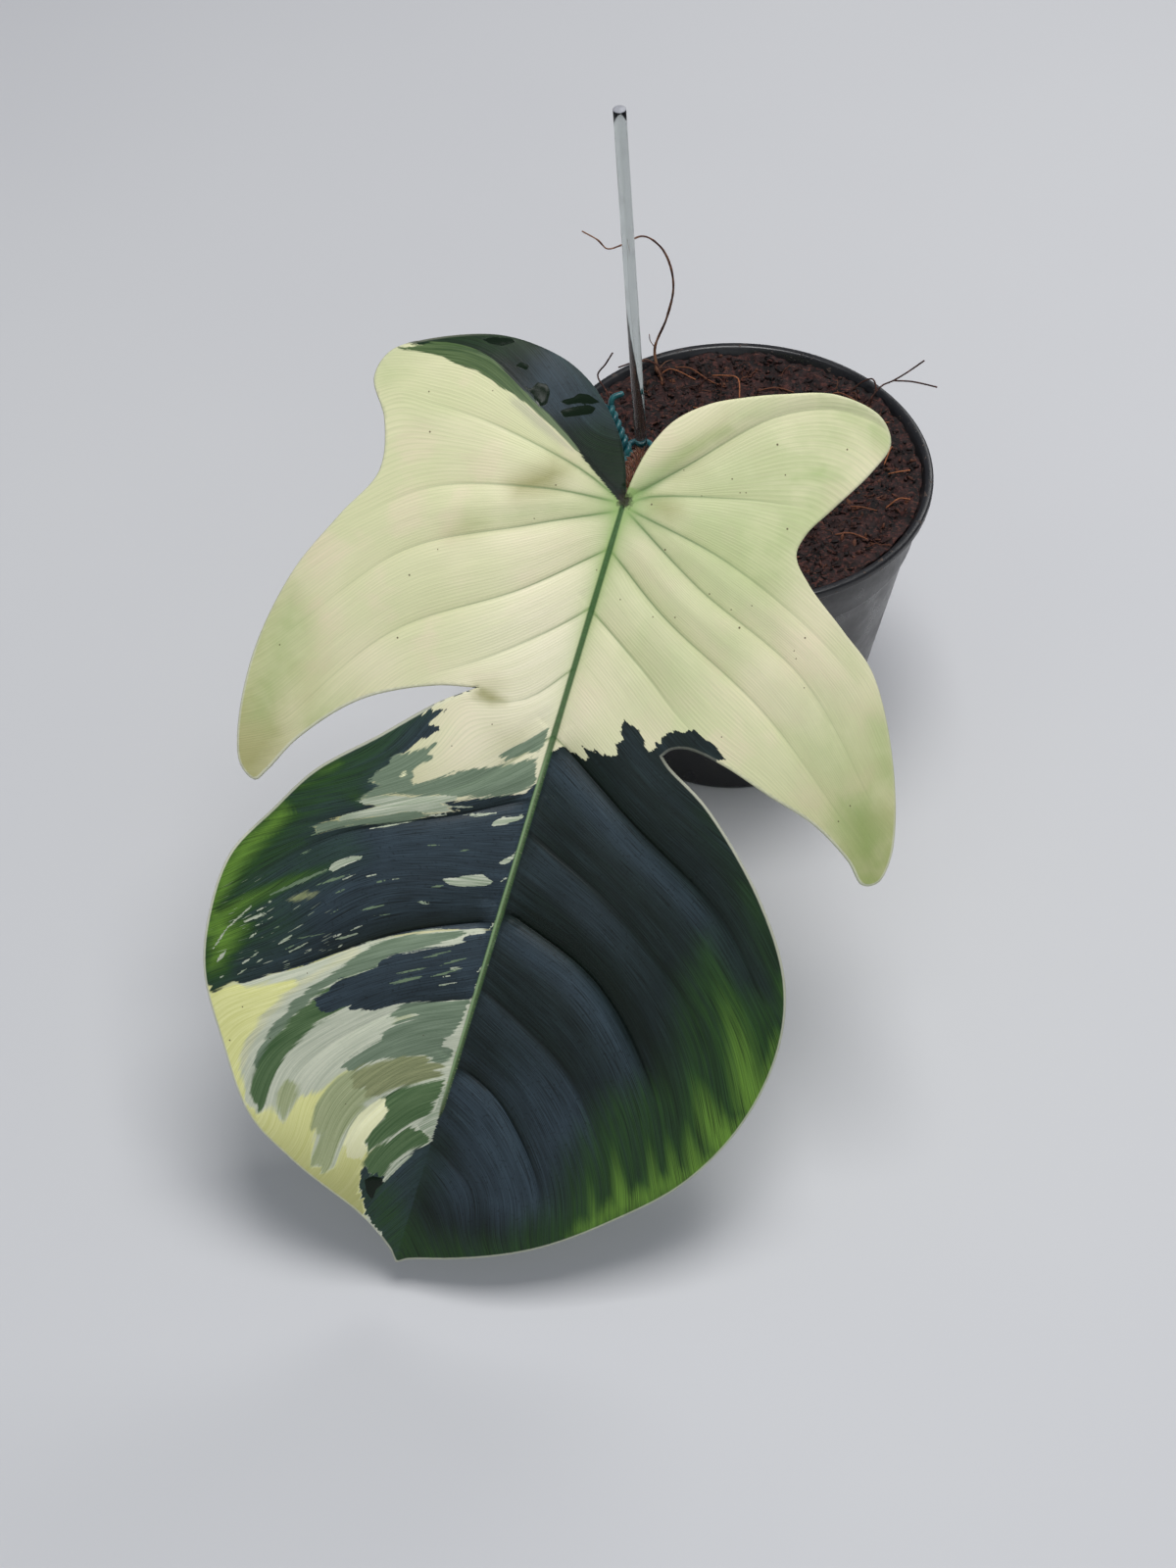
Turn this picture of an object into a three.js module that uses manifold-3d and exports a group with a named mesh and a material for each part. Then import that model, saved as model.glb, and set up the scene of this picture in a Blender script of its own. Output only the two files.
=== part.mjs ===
// Potted philodendron squamiferum: one large five-lobed leaf on a bristly petiole, held to a clear
// stake with a twist tie, in a thin round nursery pot filled with coir potting mix.
// Millimetres, +Z up. The pot's axis is Z and its flat base stands on z = 0. The leaf hangs
// forward over the rim towards -Y, with its tip just above the surface that the pot stands on.
import * as THREE from "three";
import { mergeVertices } from "three/addons/utils/BufferGeometryUtils.js";
import Module from "manifold-3d";

const wasm = await Module();
wasm.setup();

// Gap left between pieces that touch on the real plant
const GAP = 0.3;

// Nursery pot
const POT_HEIGHT = 115;
const RIM_RADIUS = 65;
const RIM_BEAD = 3.4;
const COLLAR_TOP_RADIUS = 61.6;
const COLLAR_BOTTOM_RADIUS = 60.6;
const COLLAR_BOTTOM = 95;
const BODY_TOP_RADIUS = 59.4;
const BASE_RADIUS = 45;
const WALL = 1.5;
const POT_SEGMENTS = 48;
const DRAIN_HOLE_RADIUS = 4;
const DRAIN_HOLE_COUNT = 8;
const DRAIN_RING_RADIUS = 33;

// Potting mix
const MIX_TOP = 112;
const MIX_BUMP = 1.3;
const MIX_SEGMENTS = 40;
const MIX_RINGS = 7;
const CHIP_COUNT = 40;
const CHIP_REACH = 54;
const FIBRE_COUNT = 14;
const FIBRE_LENGTH_LEAST = 9;
const FIBRE_LENGTH_SPREAD = 9;
const FIBRE_RADIUS = 0.5;

// Clear stake, from deep in the mix to its free top
const STAKE_RADIUS = 2;
const STAKE_FOOT = new THREE.Vector3(-27.5, -10.4, 30);
const STAKE_TOP = new THREE.Vector3(-42.5, -9, 263);

// Stem, petiole and the wire tie that holds the petiole to the stake
const STEM_RADIUS = 5;
const STEM_BOTTOM = 48;
const STEM_TOP = 115;
const STEM_X = -33.4;
const STEM_Y = -19;
const STEM_RINGS = 5;
const BUD_RADIUS = 1.9;
const BUD_HEIGHT = 9;
const PETIOLE_BASE_RADIUS = 3.9;
const PETIOLE_RADIUS = 3;
const BRISTLE_LENGTH = 3.2;
const BRISTLE_RADIUS = 0.5;
const BRISTLE_ROWS = 24;
const BRISTLES_A_ROW = 7;
const BRISTLE_ROOT = 0.9;
const LOWEST_BRISTLE = 119;
const BARE_AT_TIE = 4;
const BARE_AT_BLADE = 14;
const TIE_HEIGHT = 131;
const WIRE_RADIUS = 1;
const TWIST_TURNS = 3;

// Leaf blade. u runs to the right across the blade and v down it, from the junction with the
// petiole to the tip, both in the plane that the blade hangs in.
const JUNCTION = new THREE.Vector3(-41.3, -109, 200);
const BLADE_LENGTH = 243;
const BLADE_HEADING = -26.7;
const BLADE_SLOPE = 50.8;
const BLADE_TWIST = 18.6;
const BLADE_THICKNESS = 0.8;
const BLADE_ARCH = 18;
const MIDRIB_VALLEY = 5;
const MARGIN_DROOP = 18;
const GROOVE_DEPTH = 2;
const GROOVE_WIDTH = 6.5;
const FOLD_DROP = 10;
const FOLD_REACH = 9;
const LIFT_RISE = 5;
const LIFT_REACH = 8;
const SINUS_LEAN = 0.16;
const MIDRIB_HEIGHT = 3;
const MIDRIB_HALF_WIDTH = 3.2;
const VEIN_HEIGHT = 1;
const MESH_STEP = 6.6;
const EDGE_STEP_LEAST = 1.6;
const LATTICE_ROWS = [-8, 45];
const LATTICE_COLUMNS = [-18, 20];

// The blade's edge, in runs that end at its corners: the junction, both sinuses and the tip.
// Every point is [u, v].
const LEFT_UPPER_EDGE = [
  [0, 0], [-2.5, -8], [-6.5, -15.5], [-13, -23], [-20, -28.5], [-29.5, -32.5], [-47.5, -33.5],
  [-68.5, -26], [-77, -20], [-79, -12], [-72.5, -2], [-69.5, 12], [-77, 27.5], [-85.5, 47],
  [-90, 73], [-88, 96], [-84.5, 104.5], [-79.5, 107], [-77, 103.5], [-70.5, 91], [-56, 74.5],
  [-36.5, 64], [-24, 61],
];
const LEFT_LOWER_EDGE = [
  [-24, 61], [-34.5, 69], [-47.5, 82.5], [-63, 98.5], [-71.5, 113], [-80.5, 130.5], [-82, 150],
  [-79, 168], [-68.5, 187], [-54.5, 207.5], [-39, 217], [-15.5, 228.5], [-4, 238], [0, 243],
];
const RIGHT_LOWER_EDGE = [
  [0, 243], [4, 240.5], [15.5, 235.5], [40, 222.5], [58, 208], [75.5, 190], [86.5, 167.5],
  [90, 142.5], [85.5, 121], [71, 98.5], [48, 76], [34, 67.5], [31, 65],
];
const RIGHT_UPPER_EDGE = [
  [31, 65], [33, 62.5], [37.5, 61], [48, 62.5], [64.5, 68], [79.5, 73], [92.5, 81], [99, 87],
  [103, 85.5], [104.5, 77], [97.5, 53], [83, 27.5], [71, 18], [57.5, 8], [51.5, 1], [52.5, -5.5],
  [58, -14.5], [66, -27.5], [69, -36], [64, -42.5], [50, -45], [35, -41], [24.5, -37],
  [15.5, -32.5], [7.5, -25.5], [3, -17], [1, -9], [0, 0],
];

// Main veins. The two costae feed the lobes beside the petiole: the blade folds away beyond the
// left one and lifts beyond the right one. The others are sunk in shallow grooves.
const LEFT_COSTA = [[0, 0], [-16, -9.5], [-31, -18.5], [-48, -27], [-57, -27.5], [-68, -25]];
const RIGHT_COSTA = [[0, 0], [14, -14], [34, -34], [50, -41], [62, -41]];
const SIDE_VEINS = [
  [[-2, 0], [-15, -5], [-43, -10], [-70, -10]],
  [[-1, 1], [-23, 3], [-54, 12], [-75, 29]],
  [[0, 3], [-24, 14], [-56, 31], [-81, 62]],
  [[0, 14], [-20, 31], [-53, 54], [-76, 88]],
  [[0, 31], [-8, 39], [-24, 52], [-41, 63]],
  [[0, 49], [-11, 61], [-28, 66]],
  [[0, 69], [-19, 88], [-57, 111], [-75, 123]],
  [[0, 88], [-17, 97], [-52, 115], [-79, 142]],
  [[0, 126], [-26, 137], [-49, 154], [-74, 173]],
  [[0, 150], [-22, 161], [-44, 189], [-45, 209]],
  [[0, 175], [-11, 182], [-22, 199], [-25, 219]],
  [[2, 0], [7, -3], [33, -10], [52, -13]],
  [[2, 2], [33, 8], [64, 21], [80, 31]],
  [[2, 3], [27, 17], [64, 34], [96, 65]],
  [[1, 15], [19, 27], [56, 46], [96, 77]],
  [[0, 32], [21, 45], [31, 52], [43, 59]],
  [[0, 69], [28, 86], [61, 106], [86, 132]],
  [[0, 97], [32, 112], [65, 139], [82, 169]],
  [[0, 122], [31, 134], [57, 162], [68, 184]],
  [[0, 146], [31, 163], [53, 193], [57, 206]],
  [[0, 172], [16, 180], [35, 204], [40, 220]],
  [[0, 199], [15, 210], [20, 224]],
];

// Colours, roughness
const POT_MATERIAL = new THREE.MeshStandardMaterial({ color: 0x0c0c0e, roughness: 0.3 });
const MIX_MATERIAL = new THREE.MeshStandardMaterial({ color: 0x2b1310, roughness: 0.95 });
const FIBRE_MATERIAL = new THREE.MeshStandardMaterial({ color: 0x7a4a30, roughness: 0.9 });
const STAKE_MATERIAL = new THREE.MeshStandardMaterial({
  color: 0xd8dcda, roughness: 0.08, transparent: true, opacity: 0.35,
});
const TIE_MATERIAL = new THREE.MeshStandardMaterial({ color: 0x0f4a50, roughness: 0.5 });
const STEM_MATERIAL = new THREE.MeshStandardMaterial({ color: 0x4a5a2c, roughness: 0.7 });
const PETIOLE_MATERIAL = new THREE.MeshStandardMaterial({ color: 0x7d4a36, roughness: 0.8 });
const BLADE_MATERIAL = new THREE.MeshStandardMaterial({ color: 0xc3c98f, roughness: 0.45 });

// Random numbers from 0 to 1, the same in every build
function seeded(seed) {
  let state = seed;
  return () => {
    state = (state + 0x6d2b79f5) | 0;
    let t = Math.imul(state ^ (state >>> 15), 1 | state);
    t = (t + Math.imul(t ^ (t >>> 7), 61 | t)) ^ t;
    return ((t ^ (t >>> 14)) >>> 0) / 4294967296;
  };
}

// A closed solid from a geometry, with shared vertices merged and its faces pointing out
function solidOf(geometry) {
  const bare = geometry.clone();
  bare.deleteAttribute("normal");
  bare.deleteAttribute("uv");
  const merged = mergeVertices(bare, 1e-4);
  const vertProperties = new Float32Array(merged.attributes.position.array);
  const point = (i) => new THREE.Vector3().fromArray(vertProperties, 3 * i);
  const source = merged.index.array;
  const faces = [];
  let volume = 0;
  for (let i = 0; i < source.length; i += 3) {
    const [a, b, c] = [source[i], source[i + 1], source[i + 2]];
    if (a !== b && b !== c && a !== c) {
      faces.push([a, b, c]);
      volume += point(a).dot(point(b).cross(point(c)));
    }
  }
  const outward = volume > 0 ? faces : faces.map(([a, b, c]) => [a, c, b]);
  return new wasm.Manifold(
    new wasm.Mesh({ numProp: 3, vertProperties, triVerts: new Uint32Array(outward.flat()) }),
  );
}

// The largest body of a solid, without the scraps that a cut leaves loose
function largestBody(solid) {
  return solid.decompose().reduce((a, b) => (a.volume() > b.volume() ? a : b));
}

function meshOf(solid, name, material) {
  const { vertProperties, triVerts } = solid.getMesh();
  const geometry = new THREE.BufferGeometry();
  geometry.setAttribute("position", new THREE.BufferAttribute(new Float32Array(vertProperties), 3));
  geometry.setIndex(new THREE.BufferAttribute(new Uint32Array(triVerts), 1));
  geometry.computeVertexNormals();
  const mesh = new THREE.Mesh(geometry, material);
  mesh.name = name;
  return mesh;
}

// A tube along a curve with a radius that may change along it. An open tube has flat ends.
function tubeGeometry(curve, radiusAt, steps, sides, closed = false) {
  const frames = curve.computeFrenetFrames(steps, closed);
  const rings = closed ? steps : steps + 1;
  const positions = [];
  const faces = [];
  for (let i = 0; i < rings; i += 1) {
    const centre = curve.getPointAt(i / steps);
    const radius = radiusAt(i / steps);
    for (let j = 0; j < sides; j += 1) {
      const angle = (2 * Math.PI * j) / sides;
      const point = centre.clone()
        .addScaledVector(frames.normals[i], radius * Math.cos(angle))
        .addScaledVector(frames.binormals[i], radius * Math.sin(angle));
      positions.push(...point.toArray());
    }
  }
  const corner = (i, j) => (i % rings) * sides + (j % sides);
  for (let i = 0; i < (closed ? rings : rings - 1); i += 1) {
    for (let j = 0; j < sides; j += 1) {
      faces.push(corner(i, j), corner(i, j + 1), corner(i + 1, j + 1));
      faces.push(corner(i, j), corner(i + 1, j + 1), corner(i + 1, j));
    }
  }
  if (!closed) {
    for (let j = 1; j < sides - 1; j += 1) {
      faces.push(corner(0, 0), corner(0, j + 1), corner(0, j));
      faces.push(corner(rings - 1, 0), corner(rings - 1, j), corner(rings - 1, j + 1));
    }
  }
  const geometry = new THREE.BufferGeometry();
  geometry.setAttribute("position", new THREE.Float32BufferAttribute(positions, 3));
  geometry.setIndex(faces);
  return geometry;
}

function curveThrough(points, closed = false) {
  return new THREE.CatmullRomCurve3(points.map((p) => new THREE.Vector3(...p)), closed);
}

function tube(points, radius, steps, sides, closed = false) {
  return solidOf(tubeGeometry(curveThrough(points, closed), () => radius, steps, sides, closed));
}

// A solid of revolution about Z from a profile of [radius, height] points
function turned(profile, segments) {
  const points = profile.map(([r, z]) => new THREE.Vector2(r, z));
  return new THREE.LatheGeometry(points, segments).rotateX(Math.PI / 2);
}

function rod(from, to, radius, sides) {
  const along = new THREE.Vector3().subVectors(to, from);
  const turn = new THREE.Quaternion().setFromUnitVectors(
    new THREE.Vector3(0, 1, 0), along.clone().normalize(),
  );
  const geometry = new THREE.CylinderGeometry(radius, radius, along.length(), sides)
    .applyQuaternion(turn)
    .translate(...new THREE.Vector3().addVectors(from, to).multiplyScalar(0.5).toArray());
  return solidOf(geometry);
}

// Inner radius of the pot's body at a height
function innerRadius(z) {
  const share = z / COLLAR_BOTTOM;
  return BASE_RADIUS + (BODY_TOP_RADIUS - BASE_RADIUS) * share - WALL;
}

// Thin moulded pot: tapered body, a slightly wider collar under a rolled rim, a ring of drain
// holes in the base and none at its centre
function makePot() {
  const lip = POT_HEIGHT - RIM_BEAD;
  const innerCollar = COLLAR_TOP_RADIUS - WALL;
  const profile = [
    [0, 0], [BASE_RADIUS - 1, 0], [BASE_RADIUS, 1], [BODY_TOP_RADIUS, COLLAR_BOTTOM - 1],
    [COLLAR_BOTTOM_RADIUS, COLLAR_BOTTOM], [COLLAR_TOP_RADIUS, lip], [RIM_RADIUS - 0.9, lip],
    [RIM_RADIUS, lip + 0.9], [RIM_RADIUS, POT_HEIGHT - 1.2], [RIM_RADIUS - 1.1, POT_HEIGHT],
    [COLLAR_TOP_RADIUS, POT_HEIGHT], [innerCollar, POT_HEIGHT - 1],
    [COLLAR_BOTTOM_RADIUS - WALL, COLLAR_BOTTOM], [innerRadius(COLLAR_BOTTOM - 1), COLLAR_BOTTOM - 1],
    [innerRadius(WALL), WALL], [0, WALL],
  ];
  let pot = solidOf(turned(profile, POT_SEGMENTS));
  for (let k = 0; k < DRAIN_HOLE_COUNT; k += 1) {
    const angle = (2 * Math.PI * k) / DRAIN_HOLE_COUNT;
    const x = DRAIN_RING_RADIUS * Math.cos(angle);
    const y = DRAIN_RING_RADIUS * Math.sin(angle);
    const hole = rod(
      new THREE.Vector3(x, y, -WALL), new THREE.Vector3(x, y, 2 * WALL), DRAIN_HOLE_RADIUS, 12,
    );
    pot = pot.subtract(hole);
  }
  return pot;
}

// Height of the rough top of the mix above its mean level
function mixBump(x, y) {
  return MIX_BUMP * (0.5 * Math.sin(0.31 * x + 1.3) * Math.cos(0.27 * y)
    + 0.35 * Math.sin(0.71 * y + 0.4 * x) + 0.25 * Math.sin(1.13 * x - 0.9 * y + 2));
}

// Fibres that stand up from the mix at its edge and beside the stake, as [x, y, z] points
const EDGE_FIBRES = [
  [[43, 30, 110], [46.5, 33, 117], [50, 36.5, 119], [54, 38.5, 119.6], [58.5, 40, 121.8],
    [64.3, 41, 126.4]],
  [[54, 38.5, 119.6], [60, 37.6, 120], [65, 36.8, 119.4], [69, 36, 118.8]],
  [[37, 38, 110], [39.8, 40, 113.4], [43.8, 41, 117], [47, 40, 119], [48, 36.5, 118],
    [46.5, 33.5, 115], [45, 31, 110]],
  [[-42, 31, 110], [-45, 35, 117], [-48.3, 42, 119.2], [-45.6, 44, 122.4], [-43.2, 46, 125.7]],
  [[-24, 42, 110], [-25.5, 45, 115.5], [-28, 48, 119], [-34, 49.5, 119], [-41, 47.5, 118]],
  [[-13, 40, 110], [-12, 43, 114.5], [-8.5, 42, 118], [-5.4, 40, 118.5], [-6, 35, 114],
    [-7, 31, 109.5]],
];

// Long curly fibre that springs from the mix at the back of the pot and curls behind the stake
const LONG_FIBRE = [
  [-24, 46, 108], [-27, 50, 114.5], [-28.4, 53, 121.3], [-24.6, 53, 135.1], [-22.6, 51.5, 149],
  [-24.3, 49.5, 161.7], [-28.1, 47.5, 170.6], [-33.8, 45, 176.1], [-40.6, 43, 174],
  [-45.2, 42, 173.2], [-48.5, 41.5, 177.2], [-53.6, 41, 181.1],
];

function longFibre(extra) {
  return tube(LONG_FIBRE, FIBRE_RADIUS + extra, 36, 5);
}

function makeMix() {
  const bottom = WALL + GAP;
  const rows = [[0, bottom], [innerRadius(bottom) - GAP, bottom]];
  rows.push([innerRadius(COLLAR_BOTTOM - 1) - GAP, COLLAR_BOTTOM - 1]);
  const topRadius = COLLAR_BOTTOM_RADIUS - WALL - GAP;
  rows.push([topRadius, COLLAR_BOTTOM + 1]);
  for (let k = 0; k <= MIX_RINGS; k += 1) {
    rows.push([topRadius * (1 - k / MIX_RINGS), MIX_TOP]);
  }
  const body = turned(rows, MIX_SEGMENTS);
  const points = body.attributes.position;
  for (let i = 0; i < points.count; i += 1) {
    if (points.getZ(i) > MIX_TOP - GAP) {
      points.setZ(i, MIX_TOP + mixBump(points.getX(i), points.getY(i)));
    }
  }
  let mix = solidOf(body);
  const random = seeded(7);
  for (let k = 0; k < CHIP_COUNT; k += 1) {
    const reach = CHIP_REACH * Math.sqrt(random());
    const angle = 2 * Math.PI * random();
    const x = reach * Math.cos(angle);
    const y = reach * Math.sin(angle);
    const chip = new THREE.IcosahedronGeometry(1, 0)
      .scale(2 + 2.4 * random(), 1 + random(), 0.9 + 0.6 * random())
      .rotateY(0.8 * (random() - 0.5))
      .rotateZ(Math.PI * random())
      .translate(x, y, MIX_TOP + mixBump(x, y) - 0.1);
    mix = mix.add(solidOf(chip));
  }
  for (let k = 0; k < FIBRE_COUNT; k += 1) {
    const reach = 10 + 40 * Math.sqrt(random());
    const angle = 2 * Math.PI * random();
    const heading = 2 * Math.PI * random();
    const length = FIBRE_LENGTH_LEAST + FIBRE_LENGTH_SPREAD * random();
    const rise = 2 + 2.5 * random();
    const bend = 0.8 * (random() - 0.5);
    const points = [-0.5, -0.2, 0.15, 0.5].map((t, i) => {
      const across = bend * length * (0.25 - t * t);
      const lift = i === 0 || i === 3 ? -2 : rise;
      return [
        reach * Math.cos(angle) + t * length * Math.cos(heading) - across * Math.sin(heading),
        reach * Math.sin(angle) + t * length * Math.sin(heading) + across * Math.cos(heading),
        MIX_TOP + lift,
      ];
    });
    mix = mix.add(tube(points, FIBRE_RADIUS, 6, 4));
  }
  for (const points of EDGE_FIBRES) {
    mix = mix.add(tube(points, FIBRE_RADIUS, 2 * points.length, 4));
  }
  return mix;
}

function makeStake(extra) {
  return rod(STAKE_FOOT, STAKE_TOP, STAKE_RADIUS + extra, 16);
}

// Short upright stem, ringed where older leaves were, most of it below the mix, with a pointed
// bud beside the petiole
function makeStem(extra) {
  const profile = [[0, STEM_BOTTOM - extra], [STEM_RADIUS - 1.2 + extra, STEM_BOTTOM - extra]];
  const rise = (STEM_TOP - STEM_BOTTOM) / STEM_RINGS;
  for (let k = 0; k < STEM_RINGS; k += 1) {
    const z = STEM_BOTTOM + k * rise;
    profile.push([STEM_RADIUS - 0.5 + extra, z + 0.25 * rise]);
    profile.push([STEM_RADIUS + extra, z + 0.85 * rise]);
  }
  profile.push([STEM_RADIUS - 0.4 + extra, STEM_TOP + extra], [0, STEM_TOP + extra]);
  const bud = tube(
    [[STEM_X + 3.6, STEM_Y - 1, STEM_TOP - 8], [STEM_X + 6, STEM_Y - 1.5, STEM_TOP + 2],
      [STEM_X + 7.2, STEM_Y - 2.5, STEM_TOP + BUD_HEIGHT]], BUD_RADIUS + extra, 4, 8,
  );
  const tip = new THREE.ConeGeometry(BUD_RADIUS, 3 * BUD_RADIUS, 8).rotateX(Math.PI / 2)
    .translate(STEM_X + 7.3, STEM_Y - 2.6, STEM_TOP + BUD_HEIGHT + BUD_RADIUS);
  return solidOf(turned(profile, 14).translate(STEM_X, STEM_Y, 0)).add(bud).add(solidOf(tip));
}

// Unit vectors along u, along v and out of the blade's upper face
function bladeAxes() {
  const heading = THREE.MathUtils.degToRad(BLADE_HEADING);
  const slope = THREE.MathUtils.degToRad(BLADE_SLOPE);
  const twist = THREE.MathUtils.degToRad(BLADE_TWIST);
  const along = new THREE.Vector3(
    Math.sin(heading) * Math.cos(slope), -Math.cos(heading) * Math.cos(slope), -Math.sin(slope),
  );
  const level = new THREE.Vector3(
    Math.sin(heading) * Math.sin(slope), -Math.cos(heading) * Math.sin(slope), Math.cos(slope),
  );
  const out = level.clone().applyAxisAngle(along, -twist);
  return { across: new THREE.Vector3().crossVectors(out, along), along, out };
}
const AXES = bladeAxes();

function flatCurve(points) {
  const flat = points.map(([u, v]) => new THREE.Vector3(u, v, 0));
  return new THREE.CatmullRomCurve3(flat, false, "centripetal");
}

// A vein as short straight steps, for distances to it
function veinSteps(points, count) {
  return flatCurve(points).getPoints(count);
}

// Distance from (u, v) to a vein, how far along the vein that is, and the side it lies on
function nearVein(u, v, steps) {
  let best = { distance: Infinity, along: 0, side: 0 };
  for (let i = 0; i + 1 < steps.length; i += 1) {
    const [a, b] = [steps[i], steps[i + 1]];
    const [du, dv] = [b.x - a.x, b.y - a.y];
    const t = THREE.MathUtils.clamp(((u - a.x) * du + (v - a.y) * dv) / (du * du + dv * dv), 0, 1);
    const distance = Math.hypot(u - a.x - t * du, v - a.y - t * dv);
    if (distance < best.distance) {
      const side = Math.sign(du * (v - a.y) - dv * (u - a.x));
      best = { distance, along: (i + t) / (steps.length - 1), side };
    }
  }
  return best;
}

const LEFT_COSTA_STEPS = veinSteps(LEFT_COSTA, 12);
const RIGHT_COSTA_STEPS = veinSteps(RIGHT_COSTA, 12);
const SIDE_VEIN_STEPS = SIDE_VEINS.map((points) => veinSteps(points, 8));

// Height of the blade above its plane: a long arch, a valley along the midrib, drooping margins,
// the left fold, the right lift, and a groove along every side vein that fades to the margin
function bladeHeight(u, v) {
  const share = v / BLADE_LENGTH;
  let height = BLADE_ARCH * 4 * share * (1 - share);
  height += MIDRIB_VALLEY * (1 - Math.exp(-((u / 20) ** 2)));
  height -= MARGIN_DROOP * (u / 100) ** 2;
  const sinus = SINUS_LEAN * v;
  if (u < sinus && v < 2) {
    const fold = nearVein(u, v, LEFT_COSTA_STEPS);
    if (fold.side > 0) {
      height -= FOLD_DROP * (1 - Math.exp(-fold.distance / FOLD_REACH));
    }
  }
  if (u >= sinus && v < 2) {
    const lift = nearVein(u, v, RIGHT_COSTA_STEPS);
    if (lift.side < 0) {
      height += LIFT_RISE * (1 - Math.exp(-lift.distance / LIFT_REACH));
    }
  }
  let groove = 0;
  for (const steps of SIDE_VEIN_STEPS) {
    const near = nearVein(u, v, steps);
    const fade = Math.min(1, 2.2 * (1 - near.along));
    groove = Math.max(groove, fade * Math.exp(-((near.distance / GROOVE_WIDTH) ** 2)));
  }
  return height - GROOVE_DEPTH * groove;
}

function bladePoint(u, v, offset = 0) {
  const point = (s, t) => JUNCTION.clone()
    .addScaledVector(AXES.across, s)
    .addScaledVector(AXES.along, t)
    .addScaledVector(AXES.out, bladeHeight(s, t));
  const centre = point(u, v);
  if (offset === 0) {
    return centre;
  }
  const across = point(u + 1, v).sub(point(u - 1, v));
  const down = point(u, v + 1).sub(point(u, v - 1));
  const normal = new THREE.Vector3().crossVectors(down, across).normalize();
  return centre.addScaledVector(normal, offset);
}

// Points along one run of the edge, closer together towards its ends, without the last one
function edgePoints(run) {
  const curve = flatCurve(run);
  const length = curve.getLength();
  const points = [];
  let travelled = 0;
  while (travelled < length - EDGE_STEP_LEAST / 2) {
    points.push(curve.getPointAt(travelled / length));
    const nearEnd = Math.min(travelled, length - travelled);
    travelled += THREE.MathUtils.clamp(0.35 * nearEnd, EDGE_STEP_LEAST, MESH_STEP);
  }
  return points;
}

// Whether a flat point lies inside a closed outline
function inside(u, v, outline) {
  let result = false;
  outline.forEach((a, i) => {
    const b = outline[(i + 1) % outline.length];
    if (a.y > v !== b.y > v && u < a.x + ((v - a.y) / (b.y - a.y)) * (b.x - a.x)) {
      result = !result;
    }
  });
  return result;
}

// Points of the blade's mesh: the edge, then the midrib and both its flanks, the veins, and an
// even lattice between them
function bladePoints(outline) {
  const points = [...outline];
  const offer = (u, v, clearance) => {
    const free = points.every((p) => Math.hypot(p.x - u, p.y - v) > clearance);
    if (free && inside(u, v, outline)) {
      points.push(new THREE.Vector2(u, v));
    }
  };
  for (let v = MESH_STEP / 2; v < BLADE_LENGTH; v += MESH_STEP) {
    [0, -MIDRIB_HALF_WIDTH, MIDRIB_HALF_WIDTH].forEach((u) => offer(u, v, 0.3 * MESH_STEP));
  }
  for (const vein of [LEFT_COSTA, RIGHT_COSTA, ...SIDE_VEINS]) {
    const curve = flatCurve(vein);
    const count = Math.round(curve.getLength() / MESH_STEP);
    curve.getSpacedPoints(count).forEach((p) => offer(p.x, p.y, 0.5 * MESH_STEP));
  }
  const random = seeded(3);
  const rise = MESH_STEP * Math.sin(Math.PI / 3);
  for (let j = LATTICE_ROWS[0]; j < LATTICE_ROWS[1]; j += 1) {
    for (let i = LATTICE_COLUMNS[0]; i < LATTICE_COLUMNS[1]; i += 1) {
      const jitter = 0.02 * MESH_STEP * random();
      offer((i + 0.5 * (j & 1)) * MESH_STEP + jitter, j * rise, 0.6 * MESH_STEP);
    }
  }
  return points;
}

// Delaunay triangles of flat points, as triples of their numbers
function delaunay(points) {
  const far = 1e4;
  const all = [...points, { x: -far, y: -far }, { x: far, y: -far }, { x: 0, y: far }];
  const withCircle = (a, b, c) => {
    const [p, q, r] = [all[a], all[b], all[c]];
    const [qx, qy, rx, ry] = [q.x - p.x, q.y - p.y, r.x - p.x, r.y - p.y];
    const scale = 2 * (qx * ry - qy * rx);
    const x = (ry * (qx * qx + qy * qy) - qy * (rx * rx + ry * ry)) / scale;
    const y = (qx * (rx * rx + ry * ry) - rx * (qx * qx + qy * qy)) / scale;
    return { corners: [a, b, c], x: p.x + x, y: p.y + y, reach: x * x + y * y };
  };
  let triangles = [withCircle(points.length, points.length + 1, points.length + 2)];
  points.forEach((point, n) => {
    const rim = new Map();
    triangles = triangles.filter(({ corners, x, y, reach }) => {
      if ((point.x - x) ** 2 + (point.y - y) ** 2 >= reach) {
        return true;
      }
      corners.forEach((a, i) => {
        const b = corners[(i + 1) % 3];
        if (!rim.delete(`${b} ${a}`)) {
          rim.set(`${a} ${b}`, [a, b]);
        }
      });
      return false;
    });
    rim.forEach(([a, b]) => triangles.push(withCircle(a, b, n)));
  });
  return triangles.map((t) => t.corners).filter((corners) => Math.max(...corners) < points.length);
}

// Height of the raised midrib and veins under the blade
function ribHeight(u, v) {
  const taper = 1 - 0.8 * (v / BLADE_LENGTH);
  let height = MIDRIB_HEIGHT * taper * Math.max(0, 1 - Math.abs(u) / MIDRIB_HALF_WIDTH);
  for (const steps of [LEFT_COSTA_STEPS, RIGHT_COSTA_STEPS, ...SIDE_VEIN_STEPS]) {
    const near = nearVein(u, v, steps);
    const ridge = VEIN_HEIGHT * (1 - near.along) * Math.max(0, 1 - near.distance / 3);
    height = Math.max(height, ridge);
  }
  return height;
}

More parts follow.
